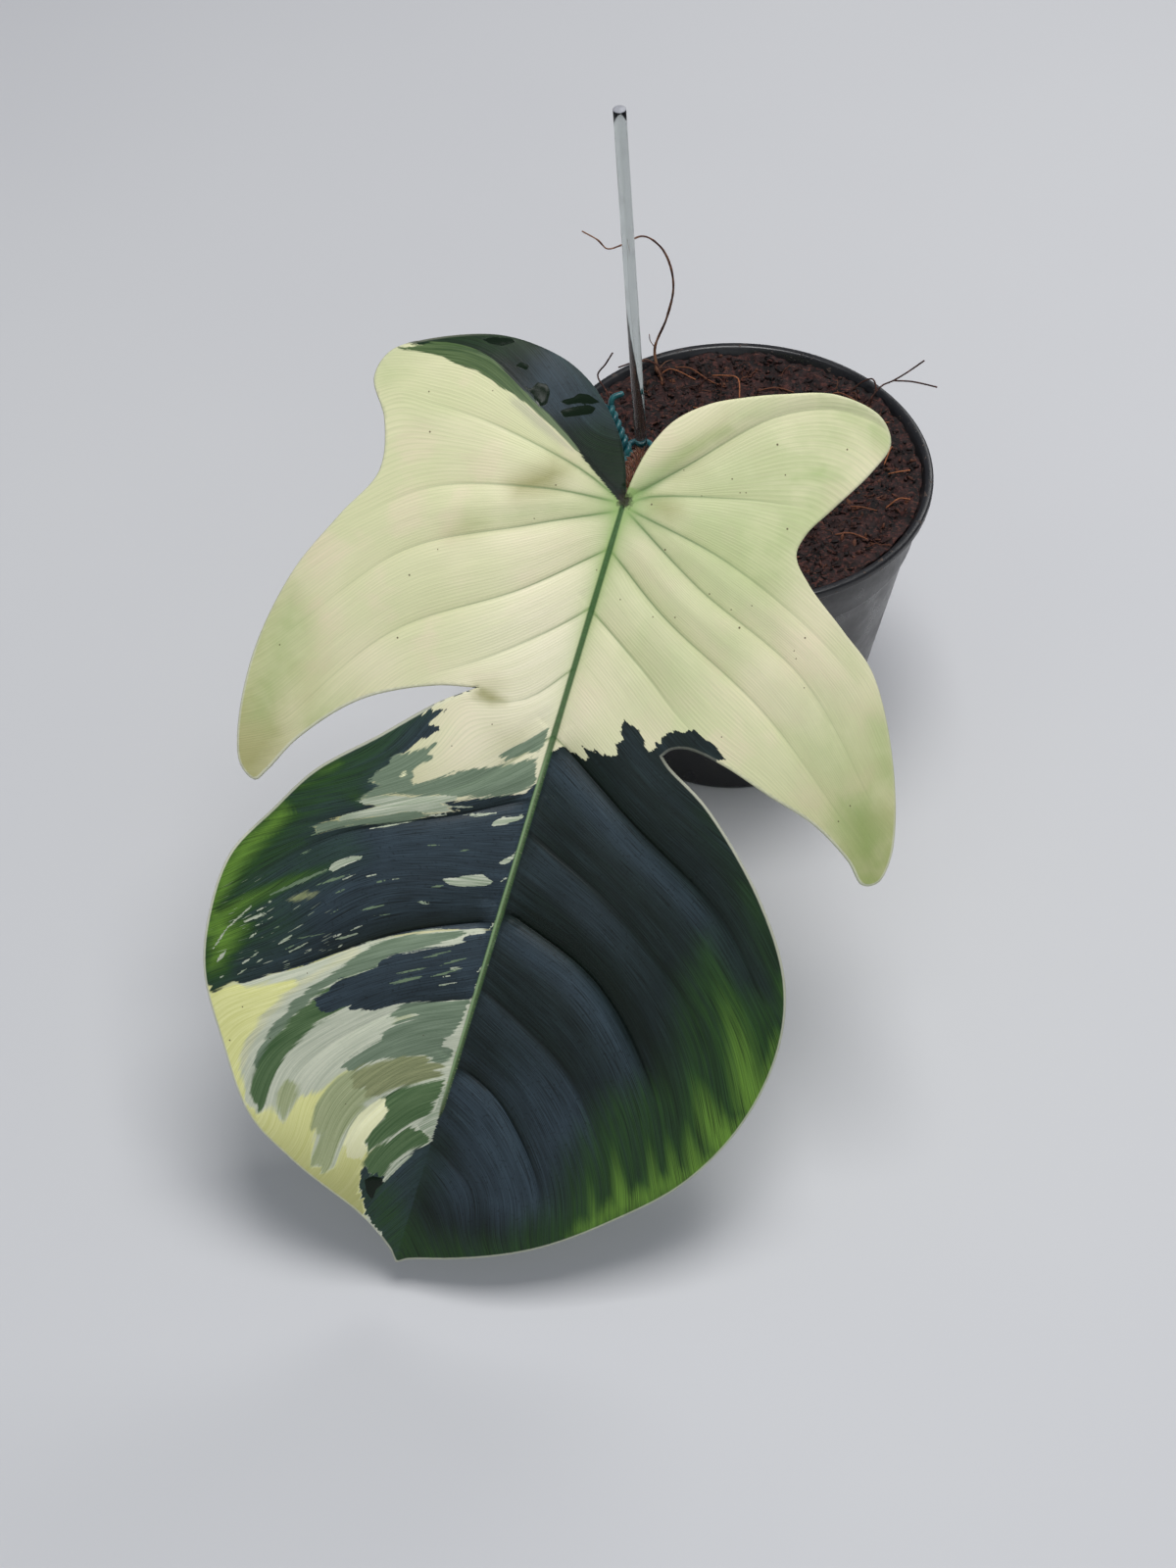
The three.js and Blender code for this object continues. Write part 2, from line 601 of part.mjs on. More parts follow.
const EDGE_RUNS = [LEFT_UPPER_EDGE, LEFT_LOWER_EDGE, RIGHT_LOWER_EDGE, RIGHT_UPPER_EDGE];
const OUTLINE = EDGE_RUNS.flatMap(edgePoints);
const BLADE_POINTS = bladePoints(OUTLINE);
const BLADE_FACES = delaunay(BLADE_POINTS).filter((corners) => {
  const middle = (axis) => corners.reduce((sum, i) => sum + BLADE_POINTS[i][axis], 0) / 3;
  return inside(middle("x"), middle("y"), OUTLINE);
});

// The blade between two faces that are split alike, both moved out by extra
function makeBlade(extra) {
  const positions = [];
  for (const p of BLADE_POINTS) {
    positions.push(...bladePoint(p.x, p.y, BLADE_THICKNESS / 2 + extra).toArray());
  }
  for (const p of BLADE_POINTS) {
    const depth = BLADE_THICKNESS / 2 + ribHeight(p.x, p.y) + extra;
    positions.push(...bladePoint(p.x, p.y, -depth).toArray());
  }
  const under = BLADE_POINTS.length;
  const faces = [];
  const edges = new Map();
  for (const [a, b, c] of BLADE_FACES) {
    faces.push(a, b, c, c + under, b + under, a + under);
    for (const [p, q] of [[a, b], [b, c], [c, a]]) {
      if (!edges.delete(`${q} ${p}`)) {
        edges.set(`${p} ${q}`, [p, q]);
      }
    }
  }
  edges.forEach(([p, q]) => faces.push(q, p, p + under, q, p + under, q + under));
  const geometry = new THREE.BufferGeometry();
  geometry.setAttribute("position", new THREE.Float32BufferAttribute(positions, 3));
  geometry.setIndex(faces);
  return solidOf(geometry);
}

// Axis of the petiole, from the top of the stem past the tie to the blade
const PETIOLE_PATH = curveThrough([
  [STEM_X, STEM_Y, STEM_TOP + GAP], [-33.4, -19, 122], [-33.7, -21, 132], [-34.6, -30, 143.5],
  [-36.2, -50, 157], [-38.6, -79, 178], [-40.3, -97, 191.2],
  bladePoint(0, 0.5, -(BLADE_THICKNESS / 2 + MIDRIB_HEIGHT + GAP)).toArray(),
]);

function petioleRadius(t) {
  return PETIOLE_RADIUS + (PETIOLE_BASE_RADIUS - PETIOLE_RADIUS) * Math.exp(-t * 14);
}

// Three-sided scaly bristles that stand out all round the petiole and lean towards the blade,
// left out under the tie and close to the blade
function addBristles(petiole) {
  const length = PETIOLE_PATH.getLength();
  const frames = PETIOLE_PATH.computeFrenetFrames(BRISTLE_ROWS, false);
  const random = seeded(19);
  let result = petiole;
  for (let i = 1; i < BRISTLE_ROWS; i += 1) {
    const t = i / BRISTLE_ROWS;
    const centre = PETIOLE_PATH.getPointAt(t);
    const underTie = Math.abs(centre.z - TIE_HEIGHT) < BARE_AT_TIE;
    if (underTie || centre.z < LOWEST_BRISTLE || (1 - t) * length < BARE_AT_BLADE) {
      continue;
    }
    for (let j = 0; j < BRISTLES_A_ROW; j += 1) {
      const angle = (2 * Math.PI * (j + 0.5 * (i % 2) + 0.4 * random())) / BRISTLES_A_ROW;
      const outward = frames.normals[i].clone().multiplyScalar(Math.cos(angle))
        .addScaledVector(frames.binormals[i], Math.sin(angle));
      const lean = outward.clone().addScaledVector(frames.tangents[i], 0.3 + 0.4 * random()).normalize();
      const size = BRISTLE_LENGTH * (0.75 + 0.4 * random());
      const root = centre.clone().addScaledVector(outward, petioleRadius(t) - BRISTLE_ROOT);
      const turn = new THREE.Quaternion().setFromUnitVectors(new THREE.Vector3(0, 1, 0), lean);
      const bristle = new THREE.ConeGeometry(BRISTLE_RADIUS, size + BRISTLE_ROOT, 3)
        .translate(0, (size + BRISTLE_ROOT) / 2, 0)
        .applyQuaternion(turn)
        .translate(...root.toArray());
      result = result.add(solidOf(bristle));
    }
  }
  return result;
}

function makePetiole() {
  const bare = solidOf(tubeGeometry(PETIOLE_PATH, petioleRadius, 24, 10));
  return addBristles(bare).subtract(makeBlade(GAP));
}

// Plastic-coated wire: a loop round the stake, a loop round the petiole, and the two ends
// twisted together up to the left
function makeTie() {
  const z = TIE_HEIGHT;
  const stakeLoop = tube([
    [-38.4, -12.6, z + 0.8], [-34.2, -13.5, z + 0.3], [-30.4, -11.4, z], [-31.2, -7.2, z + 0.2],
    [-34.6, -6.2, z + 0.6], [-38, -8.6, z + 1],
  ], WIRE_RADIUS, 16, 6, true);
  const petioleLoop = tube([
    [-38.5, -13.6, z + 0.6], [-33.8, -14.6, z + 2.2], [-29.2, -18, z + 0.6],
    [-29.2, -23, z - 1.6], [-33.6, -26.2, z - 2.8], [-38.2, -22.8, z - 1.6],
    [-39.4, -17.6, z - 0.2],
  ], WIRE_RADIUS, 20, 6, true);
  const start = new THREE.Vector3(-38.2, -13, z + 1);
  const end = new THREE.Vector3(-44.8, -2.5, z + 12);
  const axis = new THREE.Vector3().subVectors(end, start).normalize();
  const side = new THREE.Vector3(1, 0, 0).cross(axis).normalize();
  const steps = 6 * TWIST_TURNS;
  const strand = (phase, tail) => {
    const points = [];
    for (let k = 0; k <= steps; k += 1) {
      const angle = phase + (k * Math.PI) / 3;
      points.push(start.clone().lerp(end, k / steps)
        .addScaledVector(side.clone().applyAxisAngle(axis, angle), 0.9 * WIRE_RADIUS).toArray());
    }
    points.push(...tail);
    return tube(points, WIRE_RADIUS, 26, 5);
  };
  const upper = strand(0, [[-43.6, -0.6, z + 14.2], [-40.4, 0.4, z + 15.2]]);
  const lower = strand(Math.PI, [[-47.6, -3.4, z + 13.4], [-51, -5, z + 13]]);
  const core = rod(start, end, 0.95 * WIRE_RADIUS, 8);
  const knot = solidOf(
    new THREE.IcosahedronGeometry(1.5 * WIRE_RADIUS, 1).translate(...start.toArray()),
  );
  return stakeLoop.add(petioleLoop).add(upper).add(lower).add(core).add(knot);
}

const mix = largestBody(
  makeMix().subtract(makeStake(GAP)).subtract(makeStem(GAP)).subtract(longFibre(GAP)),
);

const plant = new THREE.Group();
plant.add(
  meshOf(makePot(), "pot", POT_MATERIAL),
  meshOf(mix, "potting_mix", MIX_MATERIAL),
  meshOf(longFibre(0), "coir_fibre", FIBRE_MATERIAL),
  meshOf(makeStake(0), "stake", STAKE_MATERIAL),
  meshOf(makeTie(), "twist_tie", TIE_MATERIAL),
  meshOf(makeStem(0), "stem", STEM_MATERIAL),
  meshOf(makePetiole(), "petiole", PETIOLE_MATERIAL),
  meshOf(makeBlade(0), "leaf_blade", BLADE_MATERIAL),
);

export default plant;
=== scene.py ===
import math

import bpy
import numpy as np
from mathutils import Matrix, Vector
from mathutils.geometry import delaunay_2d_cdt
from mathutils.kdtree import KDTree


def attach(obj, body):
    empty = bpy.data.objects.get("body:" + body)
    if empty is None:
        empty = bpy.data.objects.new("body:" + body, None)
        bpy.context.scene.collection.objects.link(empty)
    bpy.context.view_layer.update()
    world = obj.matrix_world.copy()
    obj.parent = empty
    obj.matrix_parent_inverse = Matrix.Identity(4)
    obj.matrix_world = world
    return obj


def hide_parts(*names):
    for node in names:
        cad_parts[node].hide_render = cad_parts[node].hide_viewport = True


# Looks of a potted philodendron squamiferum: one large five-lobed variegated leaf on a bristly
# petiole, tied to a clear stake in a black nursery pot of coir mix. Shapes are worked out in
# millimetres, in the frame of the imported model, and turned into metres as each mesh is made.
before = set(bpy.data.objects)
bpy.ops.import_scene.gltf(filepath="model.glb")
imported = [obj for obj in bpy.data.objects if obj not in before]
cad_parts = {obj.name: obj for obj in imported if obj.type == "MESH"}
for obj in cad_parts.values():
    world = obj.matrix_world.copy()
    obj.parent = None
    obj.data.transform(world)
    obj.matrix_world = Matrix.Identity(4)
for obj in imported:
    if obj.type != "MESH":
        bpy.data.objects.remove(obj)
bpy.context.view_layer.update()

MM = 0.001
FLOOR_SIZE = 6000

# Camera at the photograph's viewing angle
PHOTO_WIDTH = 1200
PHOTO_HEIGHT = 1600
CAMERA_PLACE = np.array([-51.7, -660.7, 711.0])
CAMERA_TILT = 41
LENS = 60
SENSOR = 36

# Lights, in metres and watts: place, size, power and colour
LIGHT_AIM = (-0.05, -0.12, 0.12)
LIGHTS = {
    "key": ((0.1, -0.1, 1.6), (0.7, 0.7), 18, (1, 1, 1)),
    "front": ((-0.1, -1.7, 0.95), (1.8, 0.8), 6, (0.84, 0.91, 1.0)),
    "back": ((0.6, 0.9, 0.9), (0.7, 0.5), 4, (1, 1, 1)),
}
SKY_COLOUR = (0.8, 0.86, 1.0, 1.0)
SKY_STRENGTH = 0.25

# Pot
POT_HEIGHT = 115
RIM_RADIUS = 65
RIM_BEAD = 3.4
RIM_ROUND = 1
COLLAR_TOP_RADIUS = 61.6
COLLAR_BOTTOM_RADIUS = 60.6
COLLAR_BOTTOM = 95
BODY_TOP_RADIUS = 59.4
BASE_RADIUS = 45
WALL = 1.5
POT_SEGMENTS = 180
DRAIN_HOLE_RADIUS = 4
DRAIN_HOLE_SEGMENTS = 24
DRAIN_HOLE_COUNT = 8
DRAIN_RING_RADIUS = 33

# Potting mix
MIX_TOP = 112
MIX_BUMP = 1.3
MIX_RADIUS = COLLAR_TOP_RADIUS - 0.5
MIX_STEP = 0.8
MIX_SEGMENTS = 440
MIX_FLOOR = WALL + 0.2
# Outline of the mix below its top: radius and height
MIX_BODY = [
    (COLLAR_TOP_RADIUS - WALL - 0.4, POT_HEIGHT - 5),
    (COLLAR_BOTTOM_RADIUS - WALL - 0.4, COLLAR_BOTTOM + 0.5),
    (BODY_TOP_RADIUS - WALL - 0.6, COLLAR_BOTTOM - 2),
    (BASE_RADIUS - WALL - 0.5, MIX_FLOOR),
]
# Sizes of grain in its top: how far apart they lie and how high they rise
GRAINS = [(5.0, 1.1), (2.6, 0.8), (1.5, 0.5)]
GRAIN_FIELD = 62
BANK_HEIGHT = 1.4
BANK_START = 48
BANK_END = 60
CHIP_COUNT = 1700
CHIP_CORNERS = 6
CHIP_LENGTHS = (1.2, 4.2)
CHIP_WIDTHS = (0.7, 1.8)
CHIP_THICKNESSES = (0.3, 0.8)
CHIP_TILT = 0.45
MIX_FIBRE_COUNT = 320
MIX_FIBRE_POINTS = 8
MIX_FIBRE_LENGTHS = (3, 9)
MIX_FIBRE_RADII = (0.1, 0.2)
MIX_FIBRE_RISES = (0.2, 1.4)
SEEN_FIBRE_RADIUS = 0.24
EDGE_FIBRE_RADIUS = 0.3
HAIR_RADIUS = 0.16
FIBRE_SIDES = 7

# Stake, stem, petiole and tie
STAKE_RADIUS = 2
STAKE_BEVEL = 0.25
STAKE_SEGMENTS = 48
STAKE_RINGS = 24
STAKE_END = 6
STAKE_FOOT = np.array([-27.5, -10.4, 30])
STAKE_TOP = np.array([-42.5, -9, 263])
STEM_RADIUS = 5
STEM_BOTTOM = 48
STEM_TOP = 115
STEM_RINGS = 5
RING_DEPTH = 0.45
RING_WIDTH = 0.07
STEM_SIDES = 36
BUD_SIDES = 20
STEM_X = -33.4
STEM_Y = -19
BUD_RADIUS = 1.9
BUD_PATH = [
    (STEM_X + 3.6, STEM_Y - 1, 107), (STEM_X + 6, STEM_Y - 1.5, 117),
    (STEM_X + 7.2, STEM_Y - 2.5, 124), (STEM_X + 7.9, STEM_Y - 3.2, 129),
]
PETIOLE_BASE_RADIUS = 3.9
PETIOLE_RADIUS = 3
PETIOLE_END = (0, 0.5, -3.7)
PETIOLE_SIDES = 32
BRISTLE_COUNT = 1500
BRISTLE_LENGTH = 3.2
BRISTLE_RADIUS = 0.3
BRISTLE_DEPTH = 0.25
BRISTLE_SIDES = 5
TIE_HEIGHT = 131
WIRE_RADIUS = 1
WIRE_SIDES = 16
WIRE_STEP = 0.5
TWIST_TURNS = 3
TWIST_POINTS = 12
# The tie's wire, with heights counted from TIE_HEIGHT
STAKE_LOOP = [
    (-38.4, -12.6, 0.8), (-34.2, -13.5, 0.3), (-30.4, -11.4, 0), (-31.2, -7.2, 0.2),
    (-34.6, -6.2, 0.6), (-38, -8.6, 1),
]
PETIOLE_LOOP = [
    (-38.5, -13.6, 0.6), (-33.8, -14.6, 2.2), (-29.2, -18, 0.6), (-29.2, -23, -1.6),
    (-33.6, -26.2, -2.8), (-38.2, -22.8, -1.6), (-39.4, -17.6, -0.2),
]
TWIST_START = (-38.2, -13, 1)
TWIST_END = (-44.8, -2.5, 12)
WIRE_TAILS = [
    [(-43.6, -0.6, 14.2), (-40.4, 0.4, 15.2)],
    [(-47.6, -3.4, 13.4), (-51, -5, 13)],
]

# Leaf blade, in its own plane: u runs to the right and v down it, from the junction with the
# petiole to the tip
JUNCTION = np.array([-41.3, -109, 200])
BLADE_LENGTH = 243
BLADE_HEADING = -26.7
BLADE_SLOPE = 50.8
BLADE_TWIST = 18.6
BLADE_THICKNESS = 0.8
BLADE_RIM = 0.3
BLADE_ARCH = 18
MIDRIB_VALLEY = 5
VALLEY_REACH = 20
MARGIN_DROOP = 18
GROOVE_DEPTH = 1.5
GROOVE_WIDTH = 6.5
CREASE_DEPTH = 0.35
CREASE_WIDTH = 0.9
FALL_DEPTH = 0.9
FALL_WIDTH = 2.6
SWELL_RISE = 0.5
SWELL_PLACE = 4
SWELL_WIDTH = 2.8
RIDGE_HEIGHT = 0.4
RIDGE_WIDTH = 1.1
FLANK_DEPTH = 0.2
FLANK_PLACE = 2.2
FLANK_WIDTH = 1.3
FOLD_DROP = 10
FOLD_REACH = 9
LIFT_RISE = 5
LIFT_REACH = 8
LOBES_END = 2
SINUS_LEAN = 0.16
MIDRIB_HEIGHT = 3
MIDRIB_HALF_WIDTH = 3.2
VEIN_HEIGHT = 1
VEIN_WIDTH = 1.3
WATER_DEPTH = 0.22

# Mesh of the blade: lattice steps, and lines of points along and beside the midrib and veins
UPPER_STEP = 0.78
UNDER_STEP = 1.7
LINE_STEP = 0.6
COARSE_STEP = 4
EDGE_STEP = 0.15
RIB_POINTS = 140
MIDRIB_POINTS = 400
STREAK_STEP = 0.7
MIDRIB_LINES = (0, -0.5, 0.5, -0.95, 0.95)
VEIN_SIDES = (0, 0.45, -0.45)
MIDRIB_RUN = (2, 238)
SPECK_RINGS = (0.38, 0.75)
FEATURE_GAP = 0.34

# Waves that fray the markings: width in millimetres, bumps a row, and seed
FRAYS = [(1.3, 1.1, 3), (0.9, 0.31, 4)]

# Seeds of the other random draws
BLADE_SEED = 5
UNDER_SEED = 6
FIBRE_SEED = 9
MIX_SEED = 11
MIX_LATTICE_SEED = 12
CRUMB_SEED = 13
BRISTLE_SEED = 21
WAVE_COUNT = 997

PETIOLE_PATH = [
    (-33.4, -19, 115.3), (-33.4, -19, 122), (-33.7, -21, 132), (-34.6, -30, 143.5), (-36.2, -50, 157),
    (-38.6, -79, 178), (-40.3, -97, 191.2),
]
LONG_FIBRE = [
    (-24, 46, 108), (-27, 50, 114.5), (-28.4, 53, 121.3), (-24.6, 53, 135.1), (-22.6, 51.5, 149),
    (-24.3, 49.5, 161.7), (-28.1, 47.5, 170.6), (-33.8, 45, 176.1), (-40.6, 43, 174), (-45.2, 42, 173.2),
    (-48.5, 41.5, 177.2), (-53.6, 41, 181.1),
]
LONG_FIBRE_RADIUS = 0.5
FIBRE_KNOT = [(-26.6, 49.6, 113), (-27.6, 50.4, 114.8), (-27.9, 51.2, 116.6)]
SIDE_HAIRS = [
    [(-27, 50, 114.5), (-29.4, 50.6, 118), (-31.6, 50.2, 119.4), (-33.4, 49.6, 119)],
    [(-27, 50, 115), (-24.4, 51, 117.6), (-22, 51.6, 118)],
    [(-28.2, 53, 122), (-30, 53.4, 125), (-30.4, 53.2, 128)],
]
# Fibres at the edge of the mix, and others that the photograph shows lying on it. The second
# have heights above the mix's top, and how light each is.
EDGE_FIBRES = [
    [(43, 30, 110), (46.5, 33, 117), (50, 36.5, 119), (54, 38.5, 119.6), (58.5, 40, 121.8),
     (64.3, 41, 126.4)],
    [(54, 38.5, 119.6), (60, 37.6, 120), (65, 36.8, 119.4), (69, 36, 118.8)],
    [(37, 38, 110), (39.8, 40, 113.4), (43.8, 41, 117), (47, 40, 119), (48, 36.5, 118), (46.5, 33.5, 115),
     (45, 31, 110)],
    [(-42, 31, 110), (-45, 35, 117), (-48.3, 42, 119.2), (-45.6, 44, 122.4), (-43.2, 46, 125.7)],
    [(-24, 42, 110), (-25.5, 45, 115.5), (-28, 48, 119), (-34, 49.5, 119), (-41, 47.5, 118)],
    [(-13, 40, 110), (-12, 43, 114.5), (-8.5, 42, 118), (-5.4, 40, 118.5), (-6, 35, 114), (-7, 31, 109.5)],
]
SEEN_FIBRES = [
    ([(-8, 50, 0.5), (-4, 48, 2), (0.5, 44.5, 3), (1, 38, 1.2), (0.5, 34, 0.4)], 0.95),
    ([(-21, 53, 1), (-16, 51, 2.4), (-9, 47.5, 1.4), (-4, 44, 0.4)], 0.5),
    ([(-27, 49, 0.6), (-23, 49.5, 2.2), (-14, 47.5, 0.6)], 0.7),
    ([(29, 33, 0.4), (34, 37, 2.4), (39, 36.5, 2.2), (43, 33, 0.6)], 0.45),
    ([(-15, 34, 0.4), (-13.5, 31, 1.6), (-13, 27, 0.6)], 0.9),
    ([(52, 11, 0.6), (51, 8, 2), (49, 4, 0.6)], 0.95),
    ([(44, 19, 0.5), (47, 22, 2), (52, 24, 0.6)], 0.6),
    ([(36, -18, 0.5), (39, -20, 1.8), (45, -20, 0.8)], 0.5),
    ([(50, -1, 0.4), (53, -2.5, 2), (57, -1.5, 1.4)], 0.9),
    ([(48, -18, 0.4), (52, -17, 2.4), (56, -15.5, 1.4)], 0.8),
    ([(8, 42, 0.4), (14, 43, 1.8), (20, 41, 0.6)], 0.4),
    ([(30, -32, 0.4), (35, -31, 1.6), (41, -33, 0.5)], 0.5),
]

# The blade's edge, from the junction round its left side to the tip and up its right side
LEFT_UPPER_EDGE = [
    (0, 0), (-2.5, -8), (-6.5, -15.5), (-13, -23), (-20, -28.5), (-29.5, -32.5), (-47.5, -33.5),
    (-68.5, -26), (-77, -20), (-79, -12), (-72.5, -2), (-69.5, 12), (-77, 27.5), (-85.5, 47), (-90, 73),
    (-88, 96), (-84.5, 104.5), (-79.5, 107), (-77, 103.5), (-70.5, 91), (-56, 74.5), (-36.5, 64),
    (-24, 61),
]
LEFT_LOWER_EDGE = [
    (-24, 61), (-34.5, 69), (-47.5, 82.5), (-63, 98.5), (-71.5, 113), (-80.5, 130.5), (-82, 150),
    (-79, 168), (-68.5, 187), (-54.5, 207.5), (-39, 217), (-15.5, 228.5), (-4, 238), (0, 243),
]
RIGHT_LOWER_EDGE = [
    (0, 243), (4, 240.5), (15.5, 235.5), (40, 222.5), (58, 208), (75.5, 190), (86.5, 167.5), (90, 142.5),
    (85.5, 121), (71, 98.5), (48, 76), (34, 67.5), (31, 65),
]
RIGHT_UPPER_EDGE = [
    (31, 65), (33, 62.5), (37.5, 61), (48, 62.5), (64.5, 68), (79.5, 73), (92.5, 81), (99, 87),
    (103, 85.5), (104.5, 77), (97.5, 53), (83, 27.5), (71, 18), (57.5, 8), (51.5, 1), (52.5, -5.5),
    (58, -14.5), (66, -27.5), (69, -36), (64, -42.5), (50, -45), (35, -41), (24.5, -37), (15.5, -32.5),
    (7.5, -25.5), (3, -17), (1, -9), (0, 0),
]

# Main veins. Each has the row number that the fine veins beside it count from: along the
# midrib a row is a millimetre, and in the upper lobes rows count across the fan of veins.
# After it comes how deep the vein lies.
LEFT_COSTA = [(0, 0), (-16, -9.5), (-31, -18.5), (-48, -27), (-57, -27.5), (-68, -25)]
RIGHT_COSTA = [(0, 0), (14, -14), (34, -34), (50, -41), (62, -41), (67.5, -39.5)]
LEFT_VEINS = [
    (-44, 0.25, [(-2, 0), (-15, -5), (-43, -10), (-70, -10)]),
    (-26, 0.35, [(-1, 1), (-23, 3), (-54, 12), (-75, 29)]),
    (-8, 0.5, [(0, 3), (-24, 14), (-56, 31), (-81, 62)]),
    (14, 0.45, [(0, 14), (-20, 31), (-53, 54), (-76, 88)]),
    (31, 0.3, [(0, 31), (-8, 39), (-24, 52), (-41, 63)]),
    (49, 0.2, [(0, 49), (-11, 61), (-28, 66)]),
    (69, 0.35, [(0, 69), (-19, 88), (-57, 111), (-75, 123)]),
    (88, 0.75, [(0, 88), (-17, 97), (-52, 115), (-79, 142)]),
    (126, 1.2, [(0, 126), (-26, 137), (-49, 154), (-74, 173)]),
    (150, 0.4, [(0, 150), (-22, 161), (-44, 189), (-45, 209)]),
    (175, 0.35, [(0, 175), (-11, 182), (-22, 199), (-25, 219)]),
]
RIGHT_VEINS = [
    (-44, 0.3, [(2, 0), (7, -3), (33, -10), (52, -13)]),
    (-24, 0.35, [(2, 2), (33, 8), (64, 21), (80, 31)]),
    (-6, 0.5, [(2, 3), (27, 17), (64, 34), (96, 65)]),
    (15, 0.55, [(1, 15), (19, 27), (56, 46), (96, 77)]),
    (32, 0.45, [(0, 32), (21, 45), (31, 52), (43, 59)]),
    (69, 1.0, [(0, 69), (28, 86), (61, 106), (86, 132)]),
    (97, 0.35, [(0, 97), (32, 112), (65, 139), (82, 169)]),
    (122, 1.3, [(0, 122), (31, 134), (57, 162), (68, 184)]),
    (146, 0.4, [(0, 146), (31, 163), (53, 193), (57, 206)]),
    (172, 0.9, [(0, 172), (16, 180), (35, 204), (40, 220)]),
    (199, 0.35, [(0, 199), (15, 210), (20, 224)]),
]
COSTA_ROW = -62

# The veins' painted lines: width, width of the soft dark beside them, how far they reach at
# all, and how far from the petiole they stay strong
VEINLET_WIDTH = 0.5
VEINLET_BLUR = 1.4
VEINLET_REACH = 14
JUNCTION_REACH = 26

# Markings of the upper face. Their outlines are points of the 1200 x 1600 photograph, which
# on_blade() places on the blade. All but DARK_RIGHT keep to the left of the midrib.
PIXELS_PER_MM = 3.1
FAR = 4.0
FINGER_REACH = 14
DARK_RIGHT = [
    (500, 790), (571, 763), (577, 763), (583, 767), (589, 769), (594, 773), (598, 770), (593, 759),
    (600, 764), (608, 765), (616, 770), (625, 773), (628, 766), (629, 757), (632, 755), (636, 752),
    (633, 746), (635, 739), (637, 735), (645, 740), (651, 743), (654, 749), (657, 759), (661, 767),
    (664, 766), (667, 759), (672, 755), (677, 750), (683, 746), (697, 746), (707, 743), (713, 748),
    (720, 754), (728, 759), (733, 767), (738, 774), (715, 775), (770, 850), (830, 1000), (810, 1150),
    (700, 1270), (430, 1320), (380, 1290),
]
DARK_LEFT = [
    (484, 701), (478, 705), (460, 712), (445, 719), (431, 729), (440, 728), (448, 725), (456, 722),
    (455, 726), (448, 729), (441, 734), (436, 740), (447, 739), (445, 742), (450, 745), (443, 748),
    (436, 752), (427, 757), (420, 762), (413, 768), (404, 771), (400, 775), (400, 780), (393, 784),
    (387, 788), (383, 793), (377, 799), (386, 800), (392, 801), (385, 804), (374, 811), (366, 817),
    (370, 820), (380, 821), (389, 822), (378, 825), (365, 829), (350, 833), (335, 837), (325, 841),
    (319, 845), (325, 849), (335, 846), (350, 842), (375, 840), (395, 838), (415, 836), (435, 832),
    (447, 829), (467, 827), (455, 825), (453, 823), (467, 823), (448, 819), (460, 818), (475, 816),
    (490, 814), (512, 811), (535, 809), (546, 800), (600, 800), (540, 950), (501, 950), (480, 949),
    (450, 949), (425, 951), (400, 957), (380, 962), (365, 967), (350, 972), (330, 980), (315, 986),
    (300, 989), (290, 993), (279, 992), (268, 999), (260, 1001), (252, 1003), (250, 1008), (248, 1001),
    (243, 1000), (237, 1003), (232, 1006), (227, 1012), (222, 1013), (215, 1005), (190, 1000), (190, 880),
    (260, 800), (400, 720), (440, 709), (460, 704),
]
LOWER_LEFT = [
    (520, 945), (501, 950), (450, 949), (400, 957), (350, 972), (300, 989), (279, 992), (252, 1003),
    (243, 1000), (222, 1013), (190, 1000), (220, 1150), (300, 1240), (400, 1310), (460, 1200),
]
YELLOW_MARGIN = [
    (190, 990), (222, 1012), (232, 1006), (243, 1001), (252, 1007), (262, 1006), (275, 1003), (290, 1001),
    (302, 999), (306, 1003), (298, 1011), (288, 1022), (276, 1033), (266, 1045), (257, 1058), (250, 1072),
    (247, 1088), (247, 1103), (251, 1118), (258, 1130), (264, 1134), (272, 1130), (279, 1122), (281, 1136),
    (288, 1144), (295, 1135), (305, 1121), (318, 1117), (330, 1110), (345, 1097), (358, 1090), (354, 1102),
    (341, 1120), (330, 1142), (321, 1160), (318, 1180), (322, 1191), (331, 1196), (341, 1191), (347, 1176),
    (354, 1160), (364, 1145), (375, 1133), (387, 1122), (396, 1131), (390, 1141), (380, 1152), (371, 1165),
    (375, 1172), (385, 1170), (378, 1181), (368, 1195), (367, 1215), (374, 1240), (360, 1270), (250, 1190),
]
IVORY_PATCHES = [
    [(387, 1122), (396, 1131), (390, 1141), (380, 1152), (371, 1165), (375, 1172), (368, 1182),
     (352, 1180), (350, 1168), (356, 1153), (366, 1138), (377, 1128)],
    [(407, 792), (411, 789), (417, 789), (415, 791), (410, 794)],
]
LILAC_STRIP = [
    (372, 970), (355, 979), (340, 986), (325, 995), (310, 1005), (296, 1018), (284, 1030), (272, 1044),
    (262, 1058), (254, 1074), (250, 1092), (245, 1092), (247, 1074), (254, 1057), (264, 1042), (276, 1029),
    (289, 1016), (303, 1003), (315, 996), (330, 987), (348, 976), (362, 968),
]
